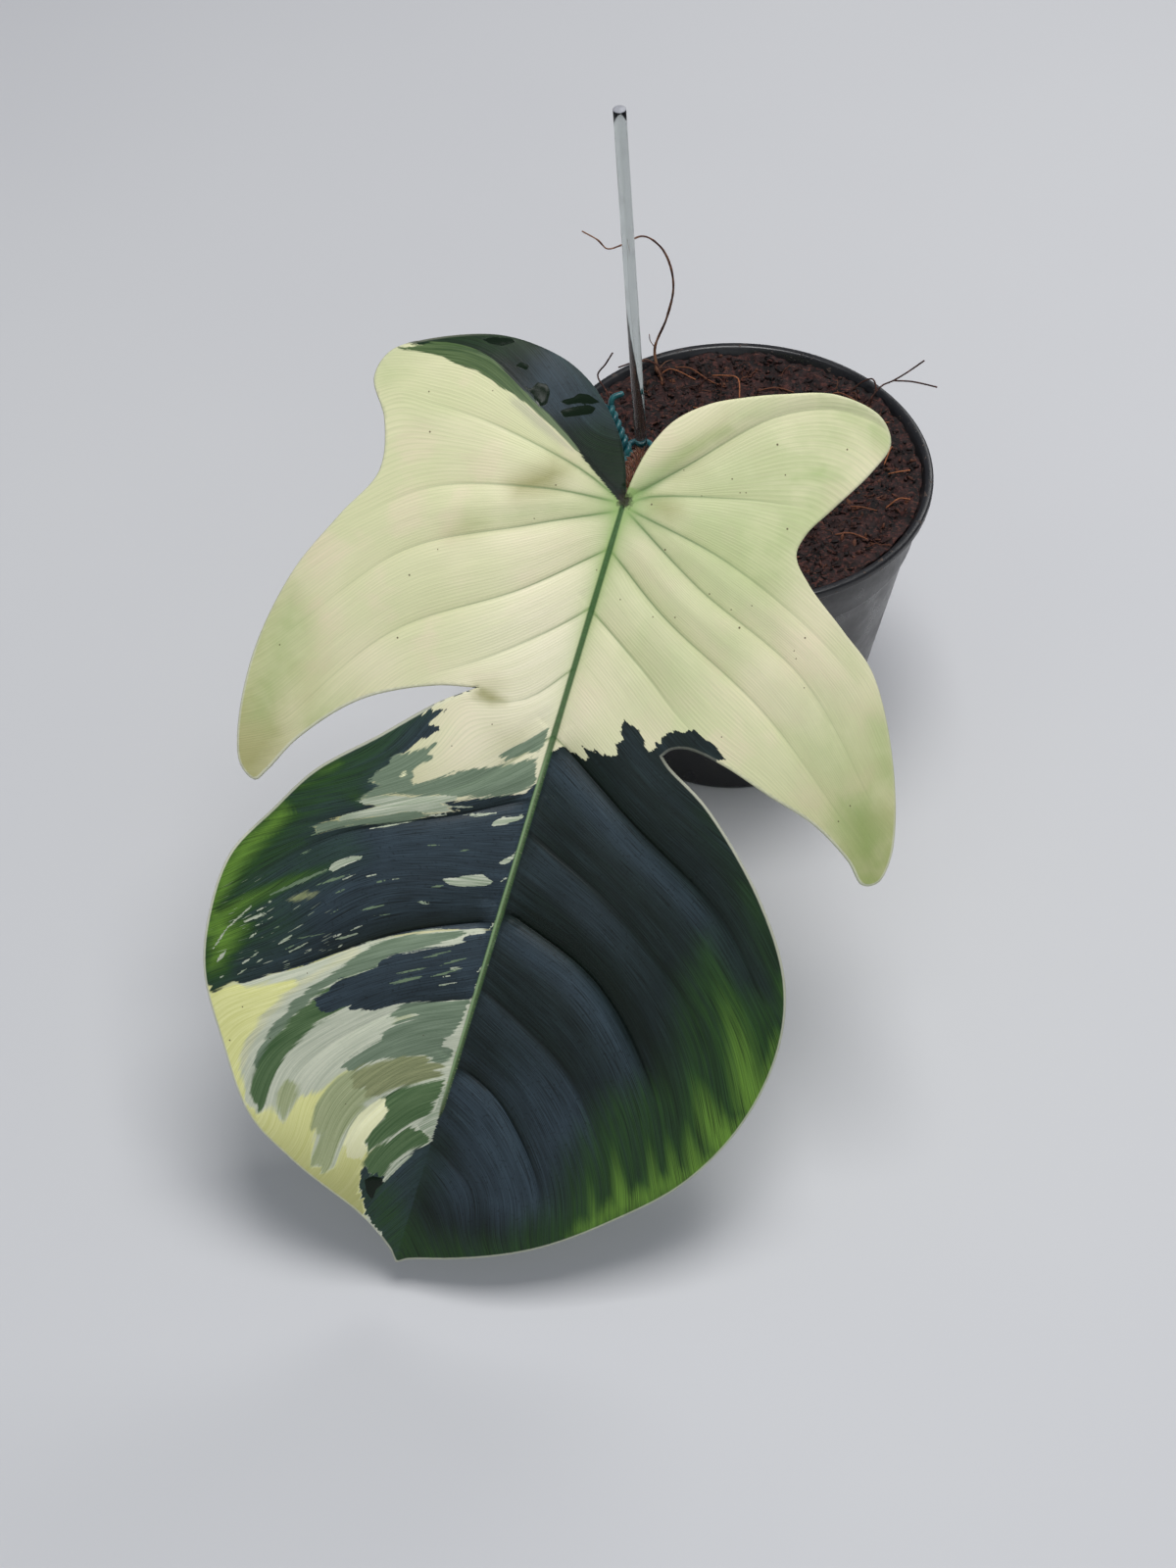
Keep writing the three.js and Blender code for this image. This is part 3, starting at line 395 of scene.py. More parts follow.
SAGE_PATCHES = [
    [(502, 775), (508, 768), (518, 763), (530, 758), (545, 750), (560, 741), (558, 752), (556, 760),
     (549, 767), (540, 768), (530, 771), (520, 774), (508, 777)],
    [(550, 772), (540, 774), (520, 779), (500, 783), (480, 786), (462, 788), (463, 791), (450, 793),
     (440, 796), (425, 800), (421, 799), (420, 790), (422, 784), (428, 779), (438, 776), (443, 774),
     (434, 771), (436, 766), (444, 761), (440, 760), (428, 765), (411, 769), (402, 771), (398, 775),
     (397, 780), (390, 784), (384, 788), (380, 793), (373, 799), (383, 800), (389, 801), (382, 804),
     (371, 811), (363, 817), (375, 815), (385, 812), (400, 810), (420, 813), (450, 812), (470, 813),
     (490, 813), (510, 811), (530, 808), (545, 801), (548, 795), (546, 785)],
    [(319, 845), (325, 841), (340, 836), (345, 838), (360, 835), (380, 833), (395, 831), (408, 828),
     (425, 826), (433, 828), (447, 829), (430, 834), (410, 838), (390, 840), (370, 841), (350, 843),
     (335, 847), (325, 849)],
    [(474, 953), (455, 950), (425, 953), (400, 959), (380, 966), (368, 973), (355, 983), (338, 993),
     (320, 1005), (303, 1020), (288, 1036), (275, 1052), (264, 1070), (258, 1090), (266, 1090),
     (276, 1070), (290, 1050), (305, 1033), (322, 1017), (338, 1005), (350, 998), (365, 993), (378, 989),
     (388, 985), (392, 977), (405, 973), (420, 970), (440, 966), (460, 960), (468, 956)],
    [(482, 1019), (460, 1021), (440, 1021), (412, 1023), (403, 1030), (396, 1037), (407, 1037),
     (420, 1034), (424, 1036), (412, 1041), (402, 1044), (396, 1049), (388, 1056), (390, 1060),
     (380, 1066), (370, 1072), (358, 1079), (350, 1085), (349, 1089), (360, 1091), (375, 1086),
     (390, 1081), (405, 1079), (420, 1076), (430, 1077), (436, 1082), (450, 1084), (460, 1080),
     (463, 1073), (458, 1067), (452, 1061), (462, 1053), (468, 1047), (473, 1036), (477, 1026)],
]
PALE_SAGE_PATCHES = [
    [(324, 1166), (330, 1172), (344, 1156), (352, 1138), (368, 1127), (380, 1120), (380, 1106),
     (362, 1112), (348, 1124), (336, 1144)],
    [(408, 1036), (418, 1034), (426, 1035), (415, 1040), (404, 1043), (398, 1046)],
    [(350, 1133), (340, 1152), (326, 1163), (318, 1179), (322, 1191), (331, 1197), (339, 1191),
     (343, 1178), (349, 1163), (360, 1146), (372, 1130), (366, 1124), (356, 1128)],
    [(283, 1112), (292, 1103), (306, 1103), (304, 1117), (297, 1131), (290, 1144), (284, 1138),
     (282, 1126)],
    [(358, 1091), (345, 1099), (333, 1112), (322, 1128), (318, 1150), (326, 1160), (338, 1147),
     (350, 1128), (362, 1117), (372, 1108), (370, 1098)],
]
OLIVE_PATCHES = [
    [(430, 1077), (415, 1076), (400, 1079), (385, 1083), (370, 1088), (360, 1094), (356, 1100),
     (362, 1106), (370, 1112), (372, 1119), (384, 1119), (400, 1112), (415, 1107), (430, 1103),
     (445, 1099), (452, 1095), (440, 1091), (455, 1089), (445, 1084), (436, 1082)],
    [(293, 919), (300, 915), (310, 911), (323, 910), (318, 915), (308, 919), (299, 921)],
]
GREEN_PATCHES = [
    [(372, 1164), (390, 1152), (404, 1146), (410, 1150), (396, 1161), (376, 1174)],
    [(385, 987), (365, 993), (350, 997), (338, 1007), (320, 1019), (305, 1032), (290, 1047), (277, 1063),
     (266, 1080), (258, 1098), (256, 1112), (259, 1124), (264, 1131), (271, 1124), (277, 1105),
     (285, 1087), (295, 1072), (310, 1057), (325, 1043), (337, 1037), (350, 1029), (365, 1010),
     (385, 1000)],
    [(455, 1101), (440, 1103), (425, 1107), (410, 1111), (395, 1117), (386, 1121), (390, 1128),
     (396, 1131), (392, 1140), (385, 1147), (378, 1153), (371, 1160), (372, 1166), (380, 1168),
     (388, 1163), (398, 1160), (408, 1152), (420, 1144), (432, 1139), (440, 1132), (447, 1121),
     (452, 1111)],
    [(395, 1165), (405, 1157), (415, 1151), (425, 1151), (432, 1156), (440, 1161), (436, 1166),
     (425, 1171), (412, 1177), (400, 1186), (392, 1200), (388, 1207), (380, 1200), (371, 1193),
     (370, 1184), (376, 1176), (388, 1169)],
]
GREEN_STRIP = [
    (400, 353), (412, 355), (425, 353), (438, 350), (455, 350), (470, 353), (481, 356), (495, 362),
    (503, 367), (512, 375), (520, 384), (530, 395), (538, 402), (550, 415), (560, 424), (570, 435),
    (580, 446), (592, 462), (587, 460), (578, 450), (566, 438), (558, 431), (550, 424), (543, 417),
    (536, 411), (530, 408), (525, 403), (516, 398), (509, 395), (503, 389), (495, 384), (486, 378),
    (474, 375), (462, 370), (449, 364), (437, 361), (425, 359), (412, 358),
]
PALE_FRINGE = [
    (520, 404), (530, 409), (540, 416), (550, 425), (562, 437), (575, 450), (584, 460), (572, 454),
    (558, 444), (545, 434), (532, 422), (522, 412),
]
DARK_PATCHES = [
    [(508, 946), (492, 952), (479, 953), (475, 955), (472, 960), (462, 965), (440, 967), (425, 970),
     (410, 973), (400, 974), (392, 977), (387, 980), (388, 986), (378, 989), (365, 994), (350, 997),
     (343, 1002), (338, 1010), (322, 1018), (320, 1022), (328, 1026), (325, 1030), (331, 1034),
     (337, 1033), (345, 1029), (357, 1026), (360, 1030), (370, 1029), (377, 1028), (383, 1030),
     (390, 1028), (400, 1025), (410, 1023), (425, 1022), (455, 1021), (480, 1020), (485, 1015),
     (485, 1007), (490, 1000), (495, 990), (500, 975)],
    [(447, 1159), (436, 1168), (425, 1172), (412, 1182), (401, 1190), (391, 1207), (388, 1199),
     (379, 1198), (370, 1192), (366, 1198), (367, 1213), (370, 1228), (378, 1243), (395, 1275),
     (402, 1300), (450, 1300), (470, 1180)],
    [(390, 352), (410, 351), (425, 353), (445, 352), (470, 356), (485, 362), (497, 368), (508, 375),
     (516, 385), (524, 393), (535, 402), (545, 412), (555, 422), (563, 430), (573, 442), (583, 454),
     (591, 462), (600, 474), (610, 486), (620, 498), (629, 509), (640, 516), (655, 500), (645, 420),
     (600, 350), (520, 320), (430, 325)],
]
MINT_PATCHES = [
    [(366, 817), (375, 815), (385, 812), (400, 811), (420, 813), (450, 812), (467, 812), (466, 815),
     (460, 817), (448, 819), (453, 821), (463, 823), (455, 824), (463, 827), (455, 828), (435, 829),
     (425, 827), (410, 828), (395, 831), (380, 833), (360, 835), (345, 838), (346, 835), (350, 832),
     (365, 828), (378, 825), (389, 822), (380, 821), (370, 820)],
    [(502, 841), (505, 837), (512, 834), (525, 833), (535, 831), (538, 829), (533, 835), (525, 838),
     (515, 841), (503, 843)],
    [(527, 869), (524, 872), (515, 876), (507, 881), (513, 882), (520, 880), (525, 875)],
    [(449, 897), (460, 896), (475, 893), (492, 892), (498, 896), (503, 899), (500, 902), (492, 904),
     (480, 904), (468, 904), (458, 902), (453, 899)],
    [(336, 888), (338, 883), (345, 878), (355, 875), (362, 873), (370, 873), (371, 875), (364, 878),
     (355, 882), (348, 885), (340, 889)],
    [(457, 988), (462, 986), (470, 987), (475, 986), (468, 989), (460, 990)],
    [(390, 1208), (395, 1197), (405, 1186), (418, 1178), (424, 1174), (411, 1187), (400, 1198)],
    [(450, 1116), (444, 1133), (434, 1140), (425, 1147), (430, 1153), (441, 1159), (447, 1150),
     (456, 1105)],
]
# Water lying on the folded part of the left lobe, and beads at the tip
WATER_FILMS = [
    [(534, 395), (542, 397), (548, 391), (558, 393), (561, 401), (557, 415), (549, 415), (543, 404)],
    [(570, 410), (585, 406), (590, 402), (600, 403), (612, 411), (603, 413), (590, 412), (578, 414)],
    [(570, 420), (580, 417), (590, 415), (601, 414), (608, 417), (603, 423), (590, 425), (575, 427)],
    [(522, 376), (532, 370), (540, 374), (537, 379), (530, 376)],
    [(491, 347), (503, 345), (522, 346), (526, 350), (512, 354), (500, 352)],
    [(372, 1203), (380, 1199), (390, 1201), (391, 1207), (384, 1212), (380, 1224), (374, 1216)],
]
# Narrow light streaks: two ends and the greatest width, in pixels
MINT_STREAKS = [
    (472, 833, 506, 830, 3.5), (378, 846, 421, 838, 2.5), (438, 832, 455, 831, 2), (452, 822, 482, 823, 2),
    (519, 895, 511, 899, 1.5), (425, 919, 437, 919, 1.5), (429, 921, 438, 922, 2), (250, 940, 272, 932, 4),
    (258, 938, 271, 931, 2.5), (222, 981, 231, 970, 5), (255, 957, 263, 950, 2.5), (285, 963, 298, 954, 2),
    (296, 971, 314, 961, 2.5), (343, 958, 365, 952, 3.5), (340, 955, 348, 952, 1.8),
    (358, 949, 370, 944, 1.8), (368, 962, 382, 960, 3), (218, 968, 232, 947, 2.6),
    (232, 947, 257, 924, 2.4), (350, 897, 363, 892, 1.8), (375, 894, 384, 892, 1.8),
    (398, 897, 410, 896, 1.6), (274, 921, 278, 919, 2), (311, 972, 321, 967, 1.8),
    (345, 966, 350, 963, 1.8), (248, 983, 256, 977, 2), (258, 976, 264, 971, 1.8),
    (262, 982, 269, 977, 1.8), (243, 994, 252, 988, 2), (225, 998, 228, 995, 1.6),
    (263, 929, 272, 925, 1.6), (259, 945, 268, 942, 1.6), (448, 1005, 466, 1002, 2),
    (452, 996, 459, 995, 1.6), (488, 991, 498, 983, 4), (500, 948, 509, 938, 3), (497, 975, 505, 958, 3),
]
# Streaks of a duller green
DULL_STREAKS = [
    (398, 1003, 430, 996, 5), (414, 991, 440, 986, 2), (448, 985, 476, 977, 2.5), (440, 996, 470, 988, 3),
    (323, 903, 357, 892, 3), (343, 911, 352, 907, 2), (368, 928, 392, 923, 2), (338, 932, 345, 928, 1.6),
    (382, 934, 398, 932, 1.5), (292, 968, 300, 964, 1.6), (304, 957, 332, 952, 1.5),
    (385, 900, 393, 898, 1.6), (307, 872, 318, 867, 1.6), (280, 947, 285, 945, 1.6),
    (276, 913, 334, 887, 5), (318, 852, 324, 850, 1.6), (432, 977, 460, 970, 2.5), (405, 993, 423, 989, 2),
    (437, 862, 448, 862, 1.4), (470, 946, 486, 944, 1.6), (440, 905, 452, 903, 1.6),
    (470, 868, 480, 866, 1.5),
]
# Brown specks on the cream part, and their width in pixels
SPECKS = [
    (439, 441, 3), (438, 400, 2.5), (418, 587, 3), (567, 495, 2.5), (793, 454, 3.5), (864, 459, 3),
    (754, 641, 3.5), (724, 606, 2.5), (803, 540, 3.2), (679, 561, 3), (821, 651, 3), (502, 739, 2.2),
    (388, 407, 2), (747, 489, 2.5), (801, 485, 2.5), (665, 515, 3), (716, 506, 2), (746, 622, 2.2),
    (767, 618, 2), (666, 630, 2.2), (689, 630, 2.5), (633, 612, 2.2), (609, 582, 2.2), (286, 658, 2.5),
    (406, 651, 3), (461, 761, 2), (736, 752, 2.2), (810, 664, 2.2), (812, 672, 2.2), (867, 822, 2.5),
    (855, 838, 2.5), (820, 702, 2), (447, 561, 1.8), (755, 503, 2), (761, 503, 2), (698, 480, 1.8),
    (857, 518, 1.5), (545, 529, 2), (503, 399, 1.8), (248, 1027, 2.5), (235, 1061, 3), (276, 1059, 2.5),
    (314, 993, 2), (432, 1056, 2), (353, 1126, 1.5),
]
# Fingers of lime: strength, width at the rim in pixels, and a path from the rim inwards
LIME_FINGERS = [
    (1.0, 40, [(772, 1122), (760, 1092), (754, 1062), (745, 1034), (734, 1006), (722, 978), (710, 955)]),
    (1.05, 36, [(738, 1162), (724, 1142), (715, 1118), (706, 1098), (698, 1078)]),
    (0.95, 26, [(712, 1192), (706, 1172), (702, 1150), (697, 1130)]),
    (0.9, 15, [(690, 1204), (685, 1180), (680, 1158), (676, 1140)]),
    (0.85, 14, [(668, 1212), (665, 1188), (661, 1164), (657, 1146)]),
    (1.0, 18, [(636, 1228), (630, 1200), (626, 1174), (621, 1146)]),
    (0.7, 18, [(608, 1246), (604, 1224), (600, 1200), (597, 1180)]),
    (0.9, 18, [(214, 948), (232, 932), (250, 920), (274, 909), (300, 897), (338, 884), (372, 868)]),
]
# Soft tints: strength, how many millimetres they fade over to each side, and the outline
LIME_TINTS = [
    (0.8, 5, [(774, 1090), (768, 1110), (756, 1130), (738, 1150), (720, 1170), (700, 1186), (680, 1196),
        (655, 1208), (630, 1218), (606, 1232), (585, 1248), (575, 1262), (600, 1262), (640, 1246),
        (700, 1215), (745, 1175), (785, 1115), (800, 1060), (792, 1050)]),
    (0.5, 5, [(792, 1000), (796, 1060), (786, 1090), (812, 1080), (815, 1020), (800, 985)]),
    (0.62, 4, [(345, 774), (325, 784), (303, 800), (300, 808), (318, 800), (340, 790), (350, 780)]),
    (1.25, 6, [(288, 822), (270, 838), (248, 858), (226, 884), (216, 915), (222, 925), (234, 905),
        (244, 888), (262, 866), (284, 842), (296, 828)]),
    (0.55, 6, [(352, 810), (361, 807), (371, 811), (364, 820)]),
    (1.2, 7, [(212, 905), (214, 950), (214, 990), (226, 985), (240, 960), (250, 945), (236, 945),
        (226, 930)]),
    (0.35, 3, [(248, 877), (280, 866), (310, 856), (312, 862), (284, 872), (255, 882)]),
]
GREEN_TINTS = [
    (0.75, 5, [(762, 890), (785, 940), (800, 1000), (806, 1040), (792, 1040), (784, 1000), (770, 950),
        (752, 900)]),
    (0.5, 10, [(222, 945), (262, 925), (300, 930), (290, 965), (240, 992), (222, 985)]),
    (0.45, 8, [(715, 830), (745, 880), (765, 960), (790, 1030), (800, 1130), (820, 1000), (780, 880),
        (730, 820)]),
    (0.85, 8, [(720, 960), (750, 1010), (800, 1020), (800, 1130), (740, 1200), (650, 1250), (560, 1290),
        (520, 1290), (500, 1275), (570, 1225), (590, 1170), (620, 1120), (680, 1100), (690, 1040),
        (700, 1000)]),
    (0.9, 8, [(560, 1262), (500, 1265), (440, 1262), (415, 1235), (405, 1210), (392, 1208), (372, 1205),
        (375, 1250), (400, 1300), (500, 1300)]),
    (0.4, 8, [(445, 1165), (440, 1200), (425, 1225), (405, 1215), (420, 1185)]),
    (0.9, 7, [(440, 715), (380, 745), (300, 790), (240, 840), (200, 900), (195, 1000), (222, 1010),
        (240, 995), (245, 960), (262, 920), (300, 870), (330, 835), (370, 805), (392, 775), (412, 745)]),
    (0.45, 6, [(300, 860), (360, 848), (372, 870), (330, 900), (290, 920), (270, 905)]),
    (0.55, 10, [(200, 900), (250, 890), (300, 905), (300, 950), (262, 980), (225, 1005), (200, 1000)]),
    (0.7, 6, [(390, 350), (480, 330), (540, 335), (545, 352), (500, 358), (450, 354), (420, 360)]),
    (0.5, 8, [(598, 445), (615, 430), (640, 470), (645, 515), (630, 515), (610, 488)]),
    (0.5, 6, [(560, 345), (600, 380), (625, 420), (640, 460), (655, 440), (620, 360), (580, 330)]),
]
# Where the dark skin is nearly black
DEEP_TINTS = [
    (0.8, 8, [(440, 338), (480, 332), (530, 334), (545, 345), (520, 352), (490, 352), (460, 350)]),
    (0.85, 9, [(600, 452), (618, 440), (636, 462), (642, 500), (640, 516), (628, 508), (610, 484)]),
    (0.5, 7, [(440, 1170), (455, 1150), (470, 1170), (455, 1215), (435, 1240), (425, 1215)]),
    (0.45, 9, [(640, 960), (680, 990), (700, 1060), (680, 1080), (650, 1020), (620, 970)]),
    (0.4, 9, [(660, 780), (700, 790), (730, 830), (760, 900), (740, 900), (700, 840), (670, 810)]),
]
# Olive tints on the cream part: a brown spot beside the junction, and painted shade in hollows by the veins
# and the right costa, in the crease at the left sinus and at the lobes' tips
STAIN_AND_SHADE_TINTS = [
    (0.95, 6, [(524, 494), (545, 482), (564, 474), (576, 480), (564, 496), (545, 502), (528, 504)]),
    (0.35, 6, [(455, 540), (475, 528), (490, 532), (478, 545), (460, 550)]),
    (0.8, 5, [(664, 510), (680, 512), (692, 519), (682, 526), (666, 520)]),
    (0.95, 3, [(484, 701), (492, 702), (503, 707), (513, 715), (500, 717), (488, 711)]),
    (0.35, 5, [(488, 696), (504, 694), (510, 700), (500, 706)]),
    (0.3, 8, [(500, 740), (540, 738), (545, 780), (505, 790)]),
    (0.4, 9, [(870, 830), (890, 830), (900, 900), (885, 912), (872, 880)]),
    (0.4, 9, [(245, 770), (262, 760), (285, 745), (275, 790), (262, 805), (248, 795)]),
    (0.35, 8, [(680, 470), (710, 445), (740, 425), (745, 440), (715, 462), (690, 485)]),
]
CREAM_GREEN_TINTS = [
    (0.42, 12, [(625, 560), (700, 600), (730, 680), (700, 740), (640, 720), (612, 650)]),
    (0.22, 10, [(400, 400), (450, 400), (500, 440), (480, 470), (410, 450)]),
    (0.95, 10, [(860, 820), (885, 815), (902, 850), (902, 900), (885, 915), (868, 880)]),
    (0.4, 12, [(800, 700), (860, 700), (885, 780), (860, 820), (820, 780)]),
    (0.5, 12, [(700, 472), (760, 430), (850, 412), (880, 430), (860, 520), (790, 640), (720, 620),
        (660, 580)]),
    (0.8, 6, [(800, 480), (840, 468), (866, 475), (860, 490), (830, 500), (800, 498)]),
    (0.75, 7, [(840, 410), (880, 416), (915, 446), (908, 468), (882, 448), (850, 428)]),
    (0.5, 6, [(745, 418), (790, 410), (850, 410), (850, 422), (780, 430), (745, 434)]),
    (0.62, 3, [(640, 512), (660, 482), (700, 452), (745, 430), (752, 440), (705, 468), (668, 498),
        (650, 512)]),
    (0.5, 6, [(640, 516), (700, 500), (712, 512), (660, 530)]),
    (0.45, 5, [(645, 522), (690, 548), (720, 580), (700, 585), (665, 560)]),
    (0.45, 7, [(790, 520), (830, 530), (815, 550), (780, 545)]),
    (0.6, 7, [(885, 730), (905, 740), (912, 800), (900, 800), (890, 770)]),
    (0.6, 6, [(850, 820), (880, 830), (895, 890), (885, 910), (870, 880), (845, 850)]),
    (0.5, 7, [(380, 350), (440, 350), (420, 372), (395, 395), (380, 385)]),
    (0.55, 8, [(275, 640), (300, 600), (310, 640), (290, 700), (275, 740), (258, 730)]),
    (0.4, 6, [(300, 740), (330, 715), (350, 712), (320, 745)]),
    (0.4, 7, [(690, 620), (760, 640), (770, 680), (720, 660)]),
    (0.5, 5, [(640, 520), (690, 535), (700, 560), (650, 545)]),
    (0.5, 5, [(560, 505), (630, 512), (625, 525), (560, 530), (480, 540), (480, 532)]),
    (0.35, 7, [(860, 640), (880, 690), (870, 700), (850, 660)]),
]

LEFT_MARKINGS = {
    "dark": [DARK_LEFT], "lower": [LOWER_LEFT], "yellow": [YELLOW_MARGIN],
    "ivory_patch": IVORY_PATCHES, "lilac": [LILAC_STRIP], "pale_sage": PALE_SAGE_PATCHES,
    "sage": SAGE_PATCHES, "olive": OLIVE_PATCHES, "leafy": GREEN_PATCHES,
    "dark_patch": DARK_PATCHES, "strip": [GREEN_STRIP], "fringe": [PALE_FRINGE],
    "mint": MINT_PATCHES, "wet": WATER_FILMS,
}
MARKINGS = {key: [(-1, shape) for shape in shapes] for key, shapes in LEFT_MARKINGS.items()}
MARKINGS["dark"].insert(0, (1, DARK_RIGHT))
TINTS = {
    "lime": LIME_TINTS, "green": GREEN_TINTS, "deep": DEEP_TINTS, "cream_green": CREAM_GREEN_TINTS,
    "stain_and_shade": STAIN_AND_SHADE_TINTS,
}


def linear(red, green, blue):
    """Scene colour of a screen colour given from 0 to 255, by the sRGB curve."""
    shares = np.array([red, green, blue]) / 255.0
    return (*np.where(shares < 0.04045, shares / 12.92, ((shares + 0.055) / 1.055) ** 2.4), 1.0)


# Colours, as they look on a screen in white light
CREAM = linear(224, 217, 180)
CREAM_GREEN = linear(208, 210, 162)
CREAM_PINK = linear(228, 212, 182)
# Painted shade on the cream skin, above the side veins and towards the lobes' tips
SHADE_OLIVE = linear(168, 166, 106)
# Painted highlight near the midrib, and painted sheen below the side veins, on the cream skin
HIGHLIGHT_IVORY = linear(238, 231, 200)
SOFT_GREEN = linear(146, 174, 104)
VEIN_GREEN = linear(74, 104, 60)
# Olive of a real brown spot and of painted shade in hollows, creases and lobe tips
STAIN_AND_SHADE_OLIVE = linear(136, 132, 70)
# Painted bluish sheen on the dark skin
DARK_SHEEN_BLUE = linear(51, 64, 72)
DARK = linear(22, 33, 28)
DARK_SHEEN = linear(56, 70, 78)
DARK_LINE = linear(10, 15, 11)
DEEP_GREEN = linear(13, 26, 13)
MID_GREEN = linear(44, 76, 32)
LIME = linear(108, 148, 54)
MIDRIB_DARK = linear(48, 86, 42)
MIDRIB_PALE = linear(66, 92, 54)
# Painted highlight along the midrib's left flank
MIDRIB_HIGHLIGHT = linear(136, 162, 116)
MARGIN = linear(214, 214, 190)
JUNCTION_BROWN = linear(34, 30, 18)
SPECK_BROWN = linear(62, 40, 16)
DUSKY_YELLOW = linear(112, 112, 60)
STRIP_TONES = linear(88, 108, 66), linear(54, 78, 40)
STRIP_PALE = linear(136, 148, 118)
FRINGE_GREY = linear(150, 148, 138)
DULL_TONES = linear(128, 146, 116), linear(84, 106, 78)
MINT_TONES = linear(208, 210, 188), linear(146, 160, 132)
UNDER_PALE = linear(168, 182, 128)
POT_BLACK = linear(22, 22, 24)
POT_DUST = linear(44, 42, 44)
POT_SOIL = linear(84, 66, 54)
MIX_TONES = linear(17, 12, 12), linear(44, 24, 22)
MIX_BITS = linear(74, 39, 33)
MIX_STRANDS = linear(92, 56, 44)
MIX_LIGHT = linear(156, 96, 62)
MIX_DARK = linear(14, 10, 10)
FIBRE_TONES = linear(74, 44, 34), linear(142, 100, 72)
ACRYLIC_TONES = linear(206, 212, 210), linear(184, 188, 186)
SAWN_TONES = linear(150, 152, 158), linear(206, 206, 212)
TEAL_TONES = linear(20, 74, 82), linear(38, 104, 108)
STEM_TONES = linear(62, 84, 40), linear(96, 92, 56)
STEM_SPOTS = linear(96, 62, 44)
PETIOLE_TONES = linear(72, 84, 44), linear(84, 60, 42)
BRISTLE_TONES = linear(88, 40, 28), linear(140, 98, 68)
FLOOR_TONES = linear(196, 196, 198), linear(204, 204, 204)

# Light and dark stripes of each tone of the markings, and how soft its edge is in millimetres
TONES = {
    "lower": (linear(214, 216, 192), linear(184, 190, 166), 0.3),
    "yellow": (linear(240, 238, 168), linear(222, 221, 142), 0.8),
    "lilac": (linear(226, 224, 188), linear(190, 192, 156), 0.9),
    "pale_sage": (linear(184, 190, 146), linear(146, 156, 112), 0.9),
    "sage": (linear(128, 144, 120), linear(100, 118, 94), 0.3),
    "olive": (linear(160, 164, 118), linear(122, 130, 90), 0.6),
    "leafy": (linear(98, 122, 82), linear(66, 94, 56), 0.5),
    "ivory_patch": (linear(250, 248, 204), linear(240, 238, 186), 0.3),
}


# Curves and distances

def smooth(x, start=0.0, end=1.0):
    """0 before start and 1 past end, with a smooth way between. start may be past end."""
    x = np.clip((x - start) / (end - start), 0, 1)
    return x * x * (3 - 2 * x)


def curve_through(points, step):
    """Points about step apart on a centripetal Catmull-Rom curve, with both its ends."""
    p = np.array(points, float)
    p = np.vstack([2 * p[0] - p[1], p, 2 * p[-1] - p[-2]])
    made = []
    for a, b, c, d in zip(p, p[1:], p[2:], p[3:]):
        before, here, after = (math.sqrt(np.linalg.norm(y - x)) for x, y in ((a, b), (b, c), (c, d)))
        start = ((b - a) / before - (c - a) / (before + here) + (c - b) / here) * here
        end = ((c - b) / here - (d - b) / (here + after) + (d - c) / after) * here
        t = np.linspace(0, 1, max(2, round(np.linalg.norm(c - b) / step)), endpoint=False)[:, None]
        bend = t**2 * (3 * (c - b) - 2 * start - end) + t**3 * (2 * (b - c) + start + end)
        made.append(b + t * start + bend)
    made.append(p[-2:-1])
    return np.vstack(made)


def near_line(points, line):
    """Distance of flat points to a line, how far along it they are, and the side they lie on."""
    starts, steps = line[:-1], np.diff(line, axis=0)
    lengths = (steps ** 2).sum(1)
    distance, along, side = (np.zeros(len(points)) for _ in range(3))
    for part in np.array_split(np.arange(len(points)), 1 + len(points) * len(steps) // 400000):
        offset = points[part, None] - starts
        t = np.clip((offset * steps).sum(2) / lengths, 0, 1)
        gap = offset - t[..., None] * steps
        square = (gap ** 2).sum(2)
        nearest = square.argmin(1)
        picked = np.arange(len(part)), nearest
        distance[part] = np.sqrt(square[picked])
        along[part] = (nearest + t[picked]) / len(steps)
        there, step = offset[picked], steps[nearest]
        side[part] = np.sign(step[:, 0] * there[:, 1] - step[:, 1] * there[:, 0])
    return distance, along, side


def close_to(points, line, reach):
    """Indices of the points that lie no further than reach from a line's box."""
    near = (points > line.min(0) - reach) & (points < line.max(0) + reach)
    return np.flatnonzero(near.all(1))


def raise_to(total, near, values):
    """Bring the numbers at some indices up to at least the values given."""
    total[near] = np.maximum(total[near], values)


def nearest_gap(points, targets):
    """Distance from each flat point to the nearest of many targets, and that target's number."""
    tree = KDTree(len(targets))
    for i, (x, y) in enumerate(targets):
        tree.insert((x, y, 0), i)
    tree.balance()
    found = [tree.find((x, y, 0)) for x, y in points]
    return np.array([gap for _, _, gap in found]), [i for _, i, _ in found]


def inside(points, outline):
    """Whether flat points lie inside a closed outline."""
    result = np.zeros(len(points), bool)
    x, y = points.T
    for a, b in zip(outline, np.roll(outline, -1, axis=0)):
        if a[1] != b[1]:
            crosses = (a[1] > y) != (b[1] > y)
            result ^= crosses & (x < a[0] + (y - a[1]) / (b[1] - a[1]) * (b[0] - a[0]))
    return result


def depth_in(points, outline, far):
    """How deep points lie inside an outline, negative outside it, from -far to far."""
    depth = np.full(len(points), -float(far))
    close = close_to(points, outline, far)
    distance, _, _ = near_line(points[close], np.vstack([outline, outline[:1]]))
    depth[close] = np.clip(np.where(inside(points[close], outline), distance, -distance), -far, far)
    return depth


def smooth_random(x, seed):
    """A smooth wave of random height from -1 to 1 whose bumps are about 2 apart."""
    heights = np.random.default_rng(seed).uniform(-1, 1, WAVE_COUNT)
    whole = np.floor(x).astype(int)
    share = smooth(x - whole)
    return heights[whole % WAVE_COUNT] * (1 - share) + heights[(whole + 1) % WAVE_COUNT] * share


# The blade's surface

def vein_curves(step):
    return [curve_through(points, step) for _, _, points in LEFT_VEINS + RIGHT_VEINS]


